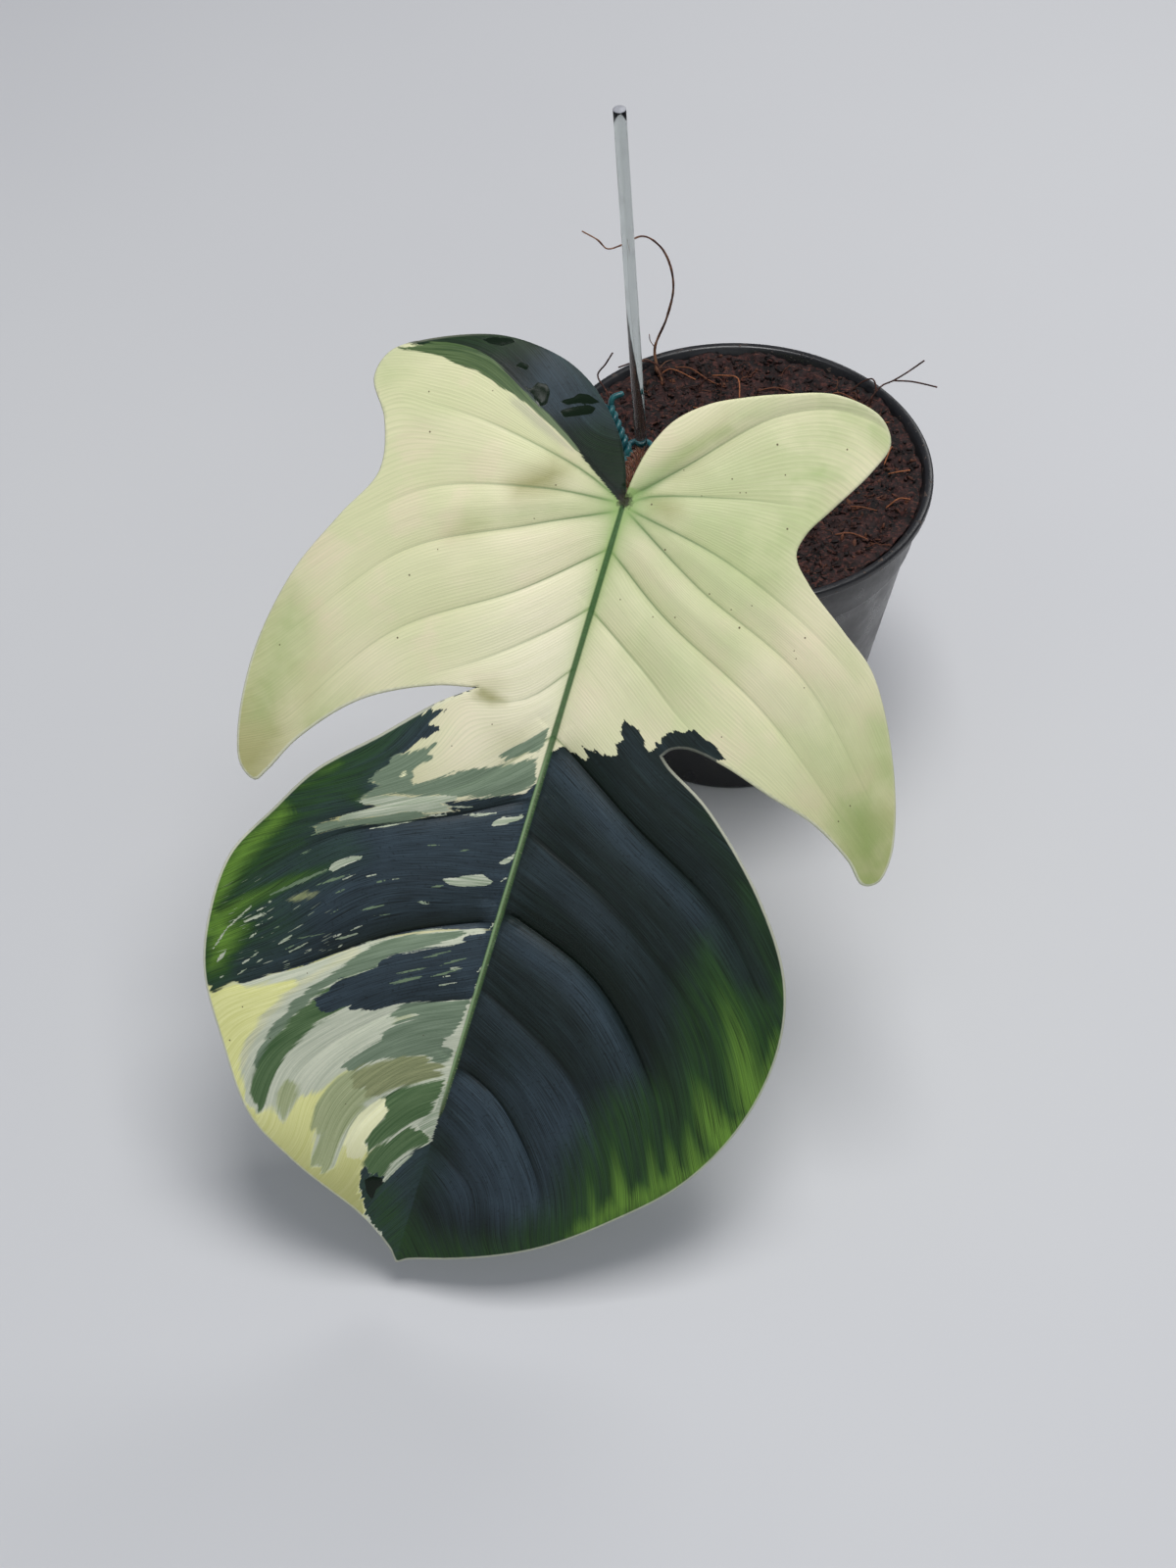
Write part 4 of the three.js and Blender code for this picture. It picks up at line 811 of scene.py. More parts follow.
UPPER_SIDES = [1] * len(LEFT_VEINS) + [-1] * len(RIGHT_VEINS)
VEIN_DEPTHS = [depth for _, depth, _ in LEFT_VEINS + RIGHT_VEINS]
VEIN_LINES = list(zip(vein_curves(COARSE_STEP), UPPER_SIDES, VEIN_DEPTHS))
LEFT_COSTA_LINE = curve_through(LEFT_COSTA, COARSE_STEP)
RIGHT_COSTA_LINE = curve_through(RIGHT_COSTA, COARSE_STEP)


def blade_axes():
    """Unit vectors to the right across the blade, down along it, and out of its upper face."""
    heading, slope, twist = np.radians([BLADE_HEADING, BLADE_SLOPE, BLADE_TWIST])
    front = np.array([math.sin(heading), -math.cos(heading), 0])
    along = front * math.cos(slope) - np.array([0, 0, math.sin(slope)])
    level = front * math.sin(slope) + np.array([0, 0, math.cos(slope)])
    out = math.cos(twist) * level - math.sin(twist) * np.cross(along, level)
    return np.cross(out, along), along, out


ACROSS, ALONG, OUT = blade_axes()


def vein_relief(points):
    """Depth of the grooves along the side veins: a steep fall above each vein, and a swelling
    below it."""
    groove, crease, fall, swell = (np.zeros(len(points)) for _ in range(4))
    for line, upper, strength in VEIN_LINES:
        near = close_to(points, line, 3 * GROOVE_WIDTH)
        distance, along, side = near_line(points[near], line)
        fade = strength * np.minimum(1, 2.2 * (1 - along)) * smooth(np.hypot(*points[near].T), 0, 25)
        fade *= smooth(np.abs(points[near, 0]), -1.5, 5.5)
        above = side == upper
        narrow = np.exp(-distance / CREASE_WIDTH)
        swollen = smooth(distance) * np.exp(-((distance - SWELL_PLACE) / SWELL_WIDTH) ** 2)
        raise_to(groove, near, fade * np.exp(-(distance / GROOVE_WIDTH) ** 2))
        raise_to(crease, near, fade * narrow)
        raise_to(fall, near, fade * np.where(above, np.exp(-distance / FALL_WIDTH), narrow))
        raise_to(swell, near, fade * np.where(above, 0, swollen))
    return GROOVE_DEPTH * groove + CREASE_DEPTH * crease + FALL_DEPTH * fall - SWELL_RISE * swell


def blade_height(points):
    """Height of the blade above its plane."""
    u, v = points.T
    share = v / BLADE_LENGTH
    height = BLADE_ARCH * 4 * share * (1 - share)
    height += MIDRIB_VALLEY * (1 - np.exp(-((u / VALLEY_REACH) ** 2))) - MARGIN_DROOP * (u / 100) ** 2
    distance, _, side = near_line(points, LEFT_COSTA_LINE)
    folded = (u < SINUS_LEAN * v) & (v < LOBES_END) & (side > 0)
    height -= np.where(folded, FOLD_DROP * (1 - np.exp(-distance / FOLD_REACH)), 0)
    distance, _, side = near_line(points, RIGHT_COSTA_LINE)
    lifted = (u >= SINUS_LEAN * v) & (v < LOBES_END) & (side < 0)
    height += np.where(lifted, LIFT_RISE * (1 - np.exp(-distance / LIFT_REACH)), 0)
    ridge = RIDGE_HEIGHT * np.exp(-((u / RIDGE_WIDTH) ** 2)) * smooth(v, 2, 14)
    ridge -= FLANK_DEPTH * np.exp(-((np.abs(u) - FLANK_PLACE) / FLANK_WIDTH) ** 2) * smooth(v, 6, 26)
    return height - vein_relief(points) + ridge


def on_surface(points, offset):
    """Points in space of flat blade points, offset along the blade's upper side."""
    def place(flat):
        u, v = flat.T
        return JUNCTION + np.outer(u, ACROSS) + np.outer(v, ALONG) + np.outer(blade_height(flat), OUT)
    step = 0.5
    across = place(points + [step, 0]) - place(points - [step, 0])
    down = place(points + [0, step]) - place(points - [0, step])
    normal = np.cross(down, across)
    normal /= np.linalg.norm(normal, axis=1)[:, None]
    return place(points) + normal * np.reshape(offset, (-1, 1))


def on_blade(pixels):
    """Flat blade points under points of the photograph, seen from the camera."""
    pixels = np.array(pixels, float)
    focal = LENS / SENSOR * PHOTO_HEIGHT
    down = math.radians(90 - CAMERA_TILT)
    forward = np.array([0, math.cos(down), -math.sin(down)])
    up = np.array([0, math.sin(down), math.cos(down)])
    rays = forward + np.outer((pixels[:, 0] - PHOTO_WIDTH / 2) / focal, [1, 0, 0])
    rays -= np.outer((pixels[:, 1] - PHOTO_HEIGHT / 2) / focal, up)
    height = np.zeros(len(pixels))
    for _ in range(30):
        reach = ((JUNCTION - CAMERA_PLACE) @ OUT + height) / (rays @ OUT)
        place = CAMERA_PLACE + rays * reach[:, None] - JUNCTION
        flat = np.c_[place @ ACROSS, place @ ALONG]
        height = 0.5 * height + 0.5 * blade_height(flat)
    return flat


def placed(shapes):
    """Lists of pixels as lists of blade points, worked out together."""
    ends = np.cumsum([len(shape) for shape in shapes])
    return iter(np.split(on_blade(np.vstack(shapes)), ends[:-1]))


marking_places = placed([
    *[pixels for shapes in MARKINGS.values() for _, pixels in shapes],
    *[pixels for tints in TINTS.values() for _, _, pixels in tints],
    *[[(a, b), (c, d)] for a, b, c, d, _ in MINT_STREAKS + DULL_STREAKS],
    *[pixels for _, _, pixels in LIME_FINGERS],
    [(x, y) for x, y, _ in SPECKS],
])
MARKING_AREAS = {key: [(side, next(marking_places)) for side, _ in shapes]
                 for key, shapes in MARKINGS.items()}
TINT_AREAS = {key: [(strength, reach, next(marking_places)) for strength, reach, _ in tints]
              for key, tints in TINTS.items()}
MINT_LINES = [next(marking_places) for _ in MINT_STREAKS]
DULL_LINES = [next(marking_places) for _ in DULL_STREAKS]
FINGER_LINES = [next(marking_places) for _ in LIME_FINGERS]
SPECK_PLACES = next(marking_places)


# Meshes and pieces

def around(count):
    """The numbers of a closed ring, each with the next."""
    return [(i, (i + 1) % count) for i in range(count)]


def circle(count):
    """Unit vectors evenly round a circle."""
    angles = 2 * np.pi * np.arange(count) / count
    return np.c_[np.cos(angles), np.sin(angles)]


def level_ring(flat, height):
    return np.c_[flat, np.full(len(flat), height)]


def ring_numbers(count, sides, first=0):
    """Point numbers of closed rings that follow each other."""
    return [range(first + i * sides, first + (i + 1) * sides) for i in range(count)]


def sleeve(rings):
    """Faces between each closed ring of point numbers and the next."""
    return [(a[i], a[j], b[j], b[i]) for a, b in zip(rings, rings[1:]) for i, j in around(len(a))]


def capped(rings):
    """Faces of a sleeve with flat ends."""
    return [*sleeve(rings), tuple(rings[0])[::-1], tuple(rings[-1])]


def square_to(direction, helper):
    """Two unit vectors square to a direction and to each other."""
    side = np.cross(direction, helper)
    side /= np.linalg.norm(side)
    return np.array([side, np.cross(direction, side)])


def new_object(name, data):
    made = bpy.data.objects.new(name, data)
    bpy.context.scene.collection.objects.link(made)
    return made


def new_mesh(name, points, faces):
    """A mesh from points in millimetres."""
    mesh = bpy.data.meshes.new(name)
    mesh.from_pydata((np.asarray(points) * MM).tolist(), [], [tuple(map(int, f)) for f in faces])
    return mesh


def mesh_piece(name, shape, materials, node, face_materials=None):
    """A smooth piece from points and faces, which stands for the CAD node that is named."""
    mesh = new_mesh(name, *shape)
    mesh.polygons.foreach_set("use_smooth", np.ones(len(mesh.polygons), bool))
    for material in materials:
        mesh.materials.append(material)
    if face_materials is not None:
        mesh.polygons.foreach_set("material_index", face_materials)
    mesh.validate()
    mesh.update()
    piece = new_object(name, mesh)
    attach(piece, "root")
    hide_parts(node)
    return piece


def point_field(piece, name, values):
    attribute = piece.data.attributes.new(name, "FLOAT", "POINT")
    attribute.data.foreach_set("value", np.asarray(values, np.float32))


def moving_frames(path):
    """Tangents, normals and binormals along a path, with no needless turning."""
    tangents = np.gradient(path, axis=0)
    tangents /= np.linalg.norm(tangents, axis=1)[:, None]
    helper = np.eye(3)[np.argmin(np.abs(tangents[0]))]
    normal = np.cross(tangents[0], helper)
    normals = []
    for tangent in tangents:
        normal = normal - tangent * (normal @ tangent)
        normal /= np.linalg.norm(normal)
        normals.append(normal)
    normals = np.array(normals)
    return tangents, normals, np.cross(tangents, normals)


def tube(path, radii, sides, closed=False):
    """Points and faces of a tube along a path. An open one has rounded ends."""
    path = np.asarray(path, float)
    radii = np.broadcast_to(np.asarray(radii, float), len(path)).copy()
    tangents, normals, binormals = moving_frames(path)
    if not closed:
        path = np.vstack([path[:1] - tangents[0] * radii[0] * 0.5, path,
                          path[-1:] + tangents[-1] * radii[-1] * 0.5])
        radii = np.r_[radii[0] * 0.6, radii, radii[-1] * 0.6]
        normals = np.vstack([normals[:1], normals, normals[-1:]])
        binormals = np.vstack([binormals[:1], binormals, binormals[-1:]])
    cosines, sines = circle(sides).T
    ring = cosines[:, None] * normals[:, None] + sines[:, None] * binormals[:, None]
    points = (path[:, None] + ring * radii[:, None, None]).reshape(-1, 3)
    rings = ring_numbers(len(path), sides)
    return points, sleeve([*rings, rings[0]]) if closed else capped(rings)


def joined(parts):
    """One set of points and faces from several."""
    faces = []
    count = 0
    for part_points, part_faces in parts:
        faces.extend(tuple(i + count for i in face) for face in part_faces)
        count += len(part_points)
    return np.vstack([part_points for part_points, _ in parts]), faces


def turned(profile, segments):
    """A surface of revolution about Z from a closed profile of (radius, height) points that
    starts and ends on the axis."""
    (_, start), *inner, (_, end) = profile
    points = np.vstack([*[level_ring(r * circle(segments), z) for r, z in inner],
                        [[0, 0, start], [0, 0, end]]])
    rings = ring_numbers(len(inner), segments)
    first, last = len(points) - 2, len(points) - 1
    faces = [(first, k, j) for j, k in around(segments)] + sleeve(rings)
    return points, faces + [(rings[-1][j], rings[-1][k], last) for j, k in around(segments)]


def lattice(outline, step, extras, seed):
    """Triangles of an even lattice inside the outline that also takes in some extra points."""
    low, high = outline.min(0), outline.max(0)
    rows = np.arange(low[1], high[1], step * math.sqrt(3) / 2)
    grid = np.stack(np.meshgrid(np.arange(low[0], high[0], step), rows), 2)
    grid[1::2, :, 0] += step / 2
    grid = grid.reshape(-1, 2)
    grid = grid + np.random.default_rng(seed).uniform(-0.08, 0.08, grid.shape) * step
    grid = grid[inside(grid, outline[::3])]
    fixed = np.vstack([outline, extras])
    points = np.vstack([fixed, grid[nearest_gap(grid, fixed)[0] > 0.55 * step]])
    vertices, _, faces, *_ = delaunay_2d_cdt([Vector(p) for p in points], around(len(outline)), [], 1, 1e-6)
    return np.array([tuple(p) for p in vertices]), [tuple(face) for face in faces]


# Materials

class Skin:
    """A new material, with short names for the nodes that its shader is made of."""

    def __init__(self, name, **values):
        self.material = bpy.data.materials.new(name)
        self.material.use_nodes = True
        self.tree = self.material.node_tree
        self.shader = self.tree.nodes["Principled BSDF"]
        self.place = self.node("TexCoord").outputs["Object"]
        self.fields = {}
        self.put(**values)

    def fill(self, socket, value):
        """Link another node's output to a socket, or set it to a plain value."""
        if isinstance(value, bpy.types.NodeSocket):
            self.tree.links.new(value, socket)
        else:
            socket.default_value = value

    def put(self, **values):
        """Fill inputs of the shader, whose names are written with _ for each space."""
        for name, value in values.items():
            self.fill(self.shader.inputs[name.replace("_", " ")], value)

    def node(self, kind, values=None, **settings):
        made = self.tree.nodes.new("ShaderNode" + kind)
        for name, value in settings.items():
            setattr(made, name, value)
        for key, value in (values or {}).items():
            self.fill(made.inputs[key], value)
        return made

    def field(self, name):
        """A field of the mesh."""
        if name not in self.fields:
            self.fields[name] = self.node("Attribute", attribute_name=name).outputs["Fac"]
        return self.fields[name]

    def maths(self, operation, a, b=0.0):
        return self.node("Math", {0: a, 1: b}, operation=operation).outputs[0]

    def times(self, a, b):
        return self.maths("MULTIPLY", a, b)

    def plus(self, a, b):
        return self.maths("ADD", a, b)

    def blend(self, factor, a, b, kind="MIX"):
        """Colours a and b mixed by factor."""
        return self.node("Mix", {0: factor, 6: a, 7: b}, data_type="RGBA", blend_type=kind).outputs[2]

    def laid(self, colour, *layers):
        """A colour under layers, each given as how much it covers and its colour."""
        for cover, layer in layers:
            colour = self.blend(cover, colour, layer)
        return colour

    def ramp(self, value, low, high, start=0.0, end=1.0):
        """value taken smoothly from the range low to high to the range start to end."""
        return self.node("MapRange", {0: value, 1: low, 2: high, 3: start, 4: end},
                         interpolation_type="SMOOTHSTEP").outputs[0]

    def noise(self, scale, detail=2.0, roughness=0.5, vector=None):
        vector = self.place if vector is None else vector
        return self.node("TexNoise", {"Vector": vector, "Scale": scale, "Detail": detail,
                                      "Roughness": roughness}).outputs["Fac"]

    def stretched(self, scale, detail, turn=(0, 0, 0)):
        """Noise with a scale of its own along each axis."""
        mapping = self.node("Mapping", {"Vector": self.place, "Rotation": turn, "Scale": scale})
        return self.noise(1.0, detail, vector=mapping.outputs[0])

    def bump(self, height, distance):
        made = self.node("Bump", {"Height": height, "Distance": distance, "Strength": 1.0})
        self.put(Normal=made.outputs["Normal"])


class LeafSkin(Skin):
    """The blade's skin. Fields of the mesh place its markings, and noise drawn out along the
    fine veins frays and streaks them."""

    def __init__(self, name):
        super().__init__(name, Specular_IOR_Level=0.2)
        self.bands = self.grain(0.16, 0.014, 2.0, 21.0)
        self.streaks = self.grain(0.5, 0.03, 3.0)
        self.fine = self.grain(2.4, 0.09, 2.0, 7.0)
        self.brush = self.grain(1.3, 0.06, 3.0, 13.0)
        self.thread = self.grain(4.5, 0.08, 1.0, 31.0)
        self.patches = self.noise(75, 3.0)
        self.speckle = self.noise(1100, 2.0)
        self.lines = self.maths("SINE", self.plus(self.times(self.field("row"), 6.4),
                                                  self.times(self.bands, 5.0)))
        self.stripes = self.plus(self.times(self.brush, 0.5), self.times(self.thread, 0.5))
        self.ragged = self.plus(self.plus(self.centred(self.fine, 1.5), self.centred(self.brush, 1.2)),
                                self.centred(self.speckle, 0.4))
        self.brushed = self.plus(self.ragged, self.centred(self.grain(1.1, 0.045, 2.0, 17.0), 2.6))
        self.thin = self.plus(self.centred(self.fine, 1.1), self.centred(self.speckle, 0.5))

    def grain(self, across, along, detail=2.0, shift=0.0):
        """Noise drawn out along the fine veins."""
        place = {0: self.times(self.field("row"), across), 1: self.times(self.field("run"), along), 2: shift}
        return self.noise(1.0, detail, vector=self.node("CombineXYZ", place).outputs[0])

    def centred(self, value, amount):
        """Noise as a shift to both sides of nothing."""
        return self.times(self.maths("SUBTRACT", value, 0.5), amount)

    def area(self, key, softness, shift):
        """How much a marking covers, with its edge shifted by noise."""
        return self.ramp(self.plus(self.field(key), shift), -softness, softness)

    def varied(self, colour, amount, grains):
        """A colour made lighter and darker along the grain."""
        light = self.ramp(grains, 0.3, 0.7, 1 - amount, 1 + amount)
        grey = self.node("CombineColor", {0: light, 1: light, 2: light}).outputs[0]
        return self.blend(1.0, colour, grey, "MULTIPLY")

    def cream(self):
        times, ramp, field, patches = self.times, self.ramp, self.field, self.patches
        cream = self.laid(
            CREAM,
            (times(ramp(self.noise(24), 0.4, 0.6), 0.7), CREAM_GREEN),
            (times(ramp(patches, 0.46, 0.66), 0.5), CREAM_PINK),
            # Painted highlight: paler within about 45 mm of the midrib, some way below the junction, half as
            # strong to its right
            (times(field("midrib_highlight"), 0.95), HIGHLIGHT_IVORY),
            (times(ramp(self.streaks, 0.4, 0.7), 0.18), CREAM_GREEN),
            # Painted shade: the cream darkens to olive away from the junction
            (times(field("painted_tip_shade"), ramp(patches, 0.3, 0.6, 0.45, 0.8)), SHADE_OLIVE),
            (times(field("cream_green"), ramp(patches, 0.3, 0.6, 0.5, 0.95)), SOFT_GREEN),
            # Olive tints: a real brown spot, and painted shade in hollows, in the crease at the left sinus
            # and at the lobes' tips
            (field("stain_and_shade"), STAIN_AND_SHADE_OLIVE),
            (times(field("shade"), 0.32), SHADE_OLIVE),
            (times(field("sheen"), 0.2), HIGHLIGHT_IVORY),
            (times(ramp(field("veinlet"), 0.06, 0.75), 0.85), VEIN_GREEN),
            (times(ramp(self.lines, 0.3, 1.0), 0.12), SOFT_GREEN),
        )
        return self.laid(self.varied(cream, 0.035, self.fine), (field("halo"), SOFT_GREEN))

    def dark(self):
        times, ramp, field = self.times, self.ramp, self.field
        # Painted sheen: the dark skin turns from green-black to a painted bluish reflection where the sheen
        # share is high.
        sheen_share = ramp(self.plus(field("painted_sheen_share"), self.centred(self.bands, 0.9)), 0.0, 1.0)
        tinted = times(field("green"), ramp(self.grain(0.6, 0.02, 3.0, 9.0), 0.3, 0.65, 0.5, 1.0))
        comb = self.centred(self.grain(0.7, 0.02, 3.0, 5.0), 0.5)
        lime = self.plus(field("lime"), times(comb, ramp(field("lime"), 0.0, 0.4)))
        dark = self.varied(self.blend(sheen_share, DARK, DARK_SHEEN_BLUE), 0.22, self.streaks)
        dark = self.laid(
            self.varied(dark, 0.12, self.patches),
            (times(field("sheen"), 0.4), DARK_SHEEN),
            (times(field("shade"), 0.95), DEEP_GREEN),
            (times(ramp(self.speckle, 0.58, 0.72), 0.4), DARK_LINE),
            (tinted, MID_GREEN),
            (times(field("deep"), 0.9), DEEP_GREEN),
            (times(ramp(lime, 0.05, 0.45), 0.85), MID_GREEN),
            (times(ramp(lime, 0.22, 1.1), 0.95), LIME),
        )
        return self.laid(
            self.varied(dark, 0.12, self.fine),
            (times(field("veinlet"), 0.95), DARK_LINE),
            (times(ramp(self.thread, 0.5, 0.62), ramp(self.streaks, 0.35, 0.65, 0.3, 0.7)), DARK_LINE),
            (times(ramp(self.thread, 0.4, 0.3), 0.14), DARK_SHEEN),
        )

    def marked(self):
        """Cream and dark skin with the tones, patches, streaks and flecks on it."""
        times, ramp, field, area = self.times, self.ramp, self.field, self.area
        dark = self.dark()
        colour = self.laid(self.cream(), (area("dark", 0.14, self.ragged), dark))
        for key, (light, deep, softness) in TONES.items():
            striped = self.laid(self.blend(ramp(self.stripes, 0.34, 0.66), light, deep),
                                (times(ramp(self.speckle, 0.55, 0.7), 0.25), deep))
            colour = self.laid(colour, (area(key, softness, self.brushed), striped))
        strip = self.laid(self.blend(ramp(self.brush, 0.3, 0.7), *STRIP_TONES),
                          (ramp(field("reach"), 55, 22, 0.0, 0.4), STRIP_PALE))
        mint = self.blend(ramp(self.stripes, 0.36, 0.6), *MINT_TONES)
        fleck = times(ramp(self.grain(1.9, 0.2, 1.0, 11.0), 0.69, 0.715), field("fleck"))
        return self.laid(
            colour,
            (times(ramp(field("down"), 196, 226, 0.0, 0.5), ramp(field("yellow"), 0.0, 1.0)), DUSKY_YELLOW),
            (area("dark_patch", 0.14, self.ragged), dark),
            (area("strip", 0.2, self.centred(self.fine, 1.2)), strip),
            (times(area("fringe", 0.9, self.brushed), 0.4), FRINGE_GREY),
            (area("dull", 0.12, self.thin), self.blend(self.brush, *DULL_TONES)),
            (area("mint", 0.08, self.thin), mint),
            (times(fleck, 0.85), mint),
        )

    def ribbed(self):
        """The marked skin with the midrib and a painted highlight along it, the junction, the margin, specks
        and water on it.
        """
        times, ramp, field = self.times, self.ramp, self.field
        down = field("down")
        pale = ramp(down, 68, 84)
        rib = self.laid(self.blend(pale, MIDRIB_DARK, MIDRIB_PALE), (ramp(down, 178, 196), DEEP_GREEN))
        beside_rib = self.maths("ABSOLUTE", self.plus(field("midrib"), 0.35))
        # Painted highlight: a pale line just left of the midrib's middle, in its pale part
        rib_highlight = times(ramp(beside_rib, 0.05, 0.45, 1.0, 0.0), pale)
        centre = self.plus(field("reach"), times(self.speckle, 3.0))
        return self.laid(
            self.marked(),
            (times(ramp(field("rib"), -0.3, 0.3), 0.92), self.varied(rib, 0.12, self.speckle)),
            (times(rib_highlight, ramp(down, 168, 192, 0.9, 0.0)), MIDRIB_HIGHLIGHT),
            (ramp(centre, 2.6, 4.6, 0.95, 0.0), JUNCTION_BROWN),
            (times(ramp(field("edge"), 0.3, 0.7, 1.0, 0.0), field("margin")), MARGIN),
            (ramp(field("speck"), 0.3, 0.75, 0.0, 0.9), SPECK_BROWN),
            (ramp(field("wet"), -0.1, 0.1), DEEP_GREEN),
        )


def leaf_material(name, cover, low, high):
    """The skin of one face, under a cover of pale green, and its least and greatest roughness."""
    skin = LeafSkin(name)
    times, ramp = skin.times, skin.ramp
    wet = ramp(skin.field("wet"), -0.1, 0.1)
    rough = skin.node("Mix", {0: wet, 2: ramp(skin.streaks, 0.3, 0.7, low, high), 3: 0.2},
                      data_type="FLOAT").outputs[0]
    skin.put(Base_Color=skin.laid(skin.ribbed(), (cover, UNDER_PALE)), Roughness=rough)
    height = skin.plus(skin.plus(times(skin.lines, 0.12), times(skin.fine, 0.7)), times(skin.speckle, 0.2))
    skin.bump(times(height, ramp(skin.field("wet"), -0.1, 0.1, 1.0, 0.0)), 0.00008)
    return skin.material


# Leaf

def row_field(points, veins, costa):
    """Row of the fine veins at each point: a thin-plate surface through the main veins' rows."""
    known = []
    rows = []
    for row, _, vein in [*veins, (COSTA_ROW, 0, costa[1:])]:
        line = curve_through(vein, 9)
        line = line[np.abs(line[:, 0]) > 4]
        known.extend(line)
        rows.extend([row] * len(line))
    midrib = range(14, BLADE_LENGTH, 12)
    known = np.array([*known, *[(0, v) for v in midrib]])
    rows = np.array([*rows, *midrib], float)

    def kernel(a, b):
        square = ((a[:, None] - b[None]) ** 2).sum(2) + 1e-9
        return square * np.log(square)

    count = len(known)
    flat = np.c_[np.ones(count), known]
    system = np.block([[kernel(known, known) + 30 * np.eye(count), flat], [flat.T, np.zeros((3, 3))]])
    weights = np.linalg.solve(system, np.r_[rows, 0, 0, 0])
    made = [kernel(part, known) @ weights[:count] + np.c_[np.ones(len(part)), part] @ weights[count:]
            for part in np.array_split(points, max(1, len(points) // 4000))]
    return np.concatenate(made)


def fine_rows(points):
    """Row number and distance run along the fine veins at flat blade points."""
    left = points[:, 0] < 0
    row = np.zeros(len(points))
    row[left] = row_field(points[left], LEFT_VEINS, LEFT_COSTA)
    row[~left] = row_field(points[~left], RIGHT_VEINS, RIGHT_COSTA)
    run = np.hypot(points[:, 0], 0.45 * (points[:, 1] - row))
    return row, run


def frayed(points, row):
    """Points moved a little along the fine veins, row by row, so that markings end in spikes."""
    step = 0.2
    across = (fine_rows(points + [step, 0])[0] - row) / step
    down = (fine_rows(points + [0, step])[0] - row) / step
    size = np.hypot(across, down) + 1e-9
    shift = sum(width * smooth_random(row * pitch, seed) for width, pitch, seed in FRAYS)
    shift *= smooth(np.abs(points[:, 0]), 1, 5) * smooth(np.hypot(*points.T), 50, 75)
    return points + np.c_[-down, across] * (shift / size)[:, None]


def blade_outline(step):
    runs = (LEFT_UPPER_EDGE, LEFT_LOWER_EDGE, RIGHT_LOWER_EDGE, RIGHT_UPPER_EDGE)
    return np.vstack([curve_through(run, step)[:-1] for run in runs])


def thinned(points, outline, gap):
    """Points that lie inside the outline and at least a gap from it and from each other."""
    points = points[inside(points, outline)]
    points = points[nearest_gap(points, outline)[0] > gap]
    cells = {}
    for p in points:
        x, y = (p // gap).astype(int)
        around_it = [q for i in (-1, 0, 1) for j in (-1, 0, 1) for q in cells.get((x + i, y + j), ())]
        if all(math.hypot(*(p - q)) > gap for q in around_it):
            cells.setdefault((x, y), []).append(p)
    return np.array([p for cell in cells.values() for p in cell]).reshape(-1, 2)


def area_depth(points, key):
    """Depth in the nearest of a marking's areas, each kept to its side of the midrib, but for
    the dark skin at the tip."""
    depth = np.full(len(points), -FAR)
    for side, outline in MARKING_AREAS[key]:
        kept = side * points[:, 0] - 0.3
        if key in ("dark", "dark_patch"):
            kept += 4 * smooth(points[:, 1], 186, 198)
        depth = np.maximum(depth, np.minimum(depth_in(points, outline, FAR), kept))
    return depth


def tint_strength(points, key):
    total = np.zeros(len(points))
    for strength, reach, outline in TINT_AREAS[key]:
        depth = depth_in(points, outline, reach)
        total = np.maximum(total, strength * smooth(depth, -reach, reach))
    return total


def streak_depth(points, lines, streaks):
    """Depth in narrow streaks that taper to both ends."""
    depth = np.full(len(points), -FAR)
    for line, (*_, width) in zip(lines, streaks):
        near = close_to(points, line, FAR)
        distance, along, _ = near_line(points[near], line)
        half = 0.36 * width / PIXELS_PER_MM * (1 - 0.7 * np.abs(2 * along - 1))
        raise_to(depth, near, half - distance)
    return depth


def finger_strength(points):
    """Strength of the lime fingers, which thin out and fade inwards from the rim."""
    total = np.zeros(len(points))
    for line, (strength, width, _) in zip(FINGER_LINES, LIME_FINGERS):
        path = curve_through(line, COARSE_STEP)
        near = close_to(points, path, FINGER_REACH)
        distance, along, _ = near_line(points[near], path)
        half = 0.62 * width / PIXELS_PER_MM * (1 - 0.65 * along)
        raise_to(total, near, strength * (1 - along) ** 0.8 * np.exp(-((distance / half) ** 2)))
    return total


def speck_shape(points):
    """1 at the middle of each speck, falling to 0 at its edge."""
    shape = np.zeros(len(points))
    for centre, (_, _, width) in zip(SPECK_PLACES, SPECKS):
        radius = 0.6 * width / PIXELS_PER_MM
        shape = np.maximum(shape, 1 - np.hypot(*(points - centre).T) / radius)
    return shape


def beside(line, gap):
    """A flat line moved sideways by a gap."""
    ahead = np.gradient(line, axis=0)
    return line + gap * np.c_[-ahead[:, 1], ahead[:, 0]] / np.linalg.norm(ahead, axis=1)[:, None]


def midrib_line(u, count):
    return np.c_[np.full(count, u), np.linspace(*MIDRIB_RUN, count)]


def feature_points(outline):
    """Mesh points along and beside the midrib and veins, along streaks, and round the specks."""
    lines = [midrib_line(u, MIDRIB_POINTS) for u in MIDRIB_LINES]
    veins = vein_curves(LINE_STEP)
    veins += [curve_through(costa, LINE_STEP) for costa in (LEFT_COSTA, RIGHT_COSTA)]
    lines += [beside(vein, gap) for gap in VEIN_SIDES for vein in veins]
    for a, b in MINT_LINES + DULL_LINES:
        count = max(3, round(np.linalg.norm(b - a) / STREAK_STEP))
        lines.append(a + (b - a) * np.linspace(0, 1, count)[:, None])
    for centre in SPECK_PLACES:
        lines.append(centre[None])
        lines += [centre + radius * circle(6) for radius in SPECK_RINGS]
    return thinned(np.vstack(lines), outline, FEATURE_GAP)


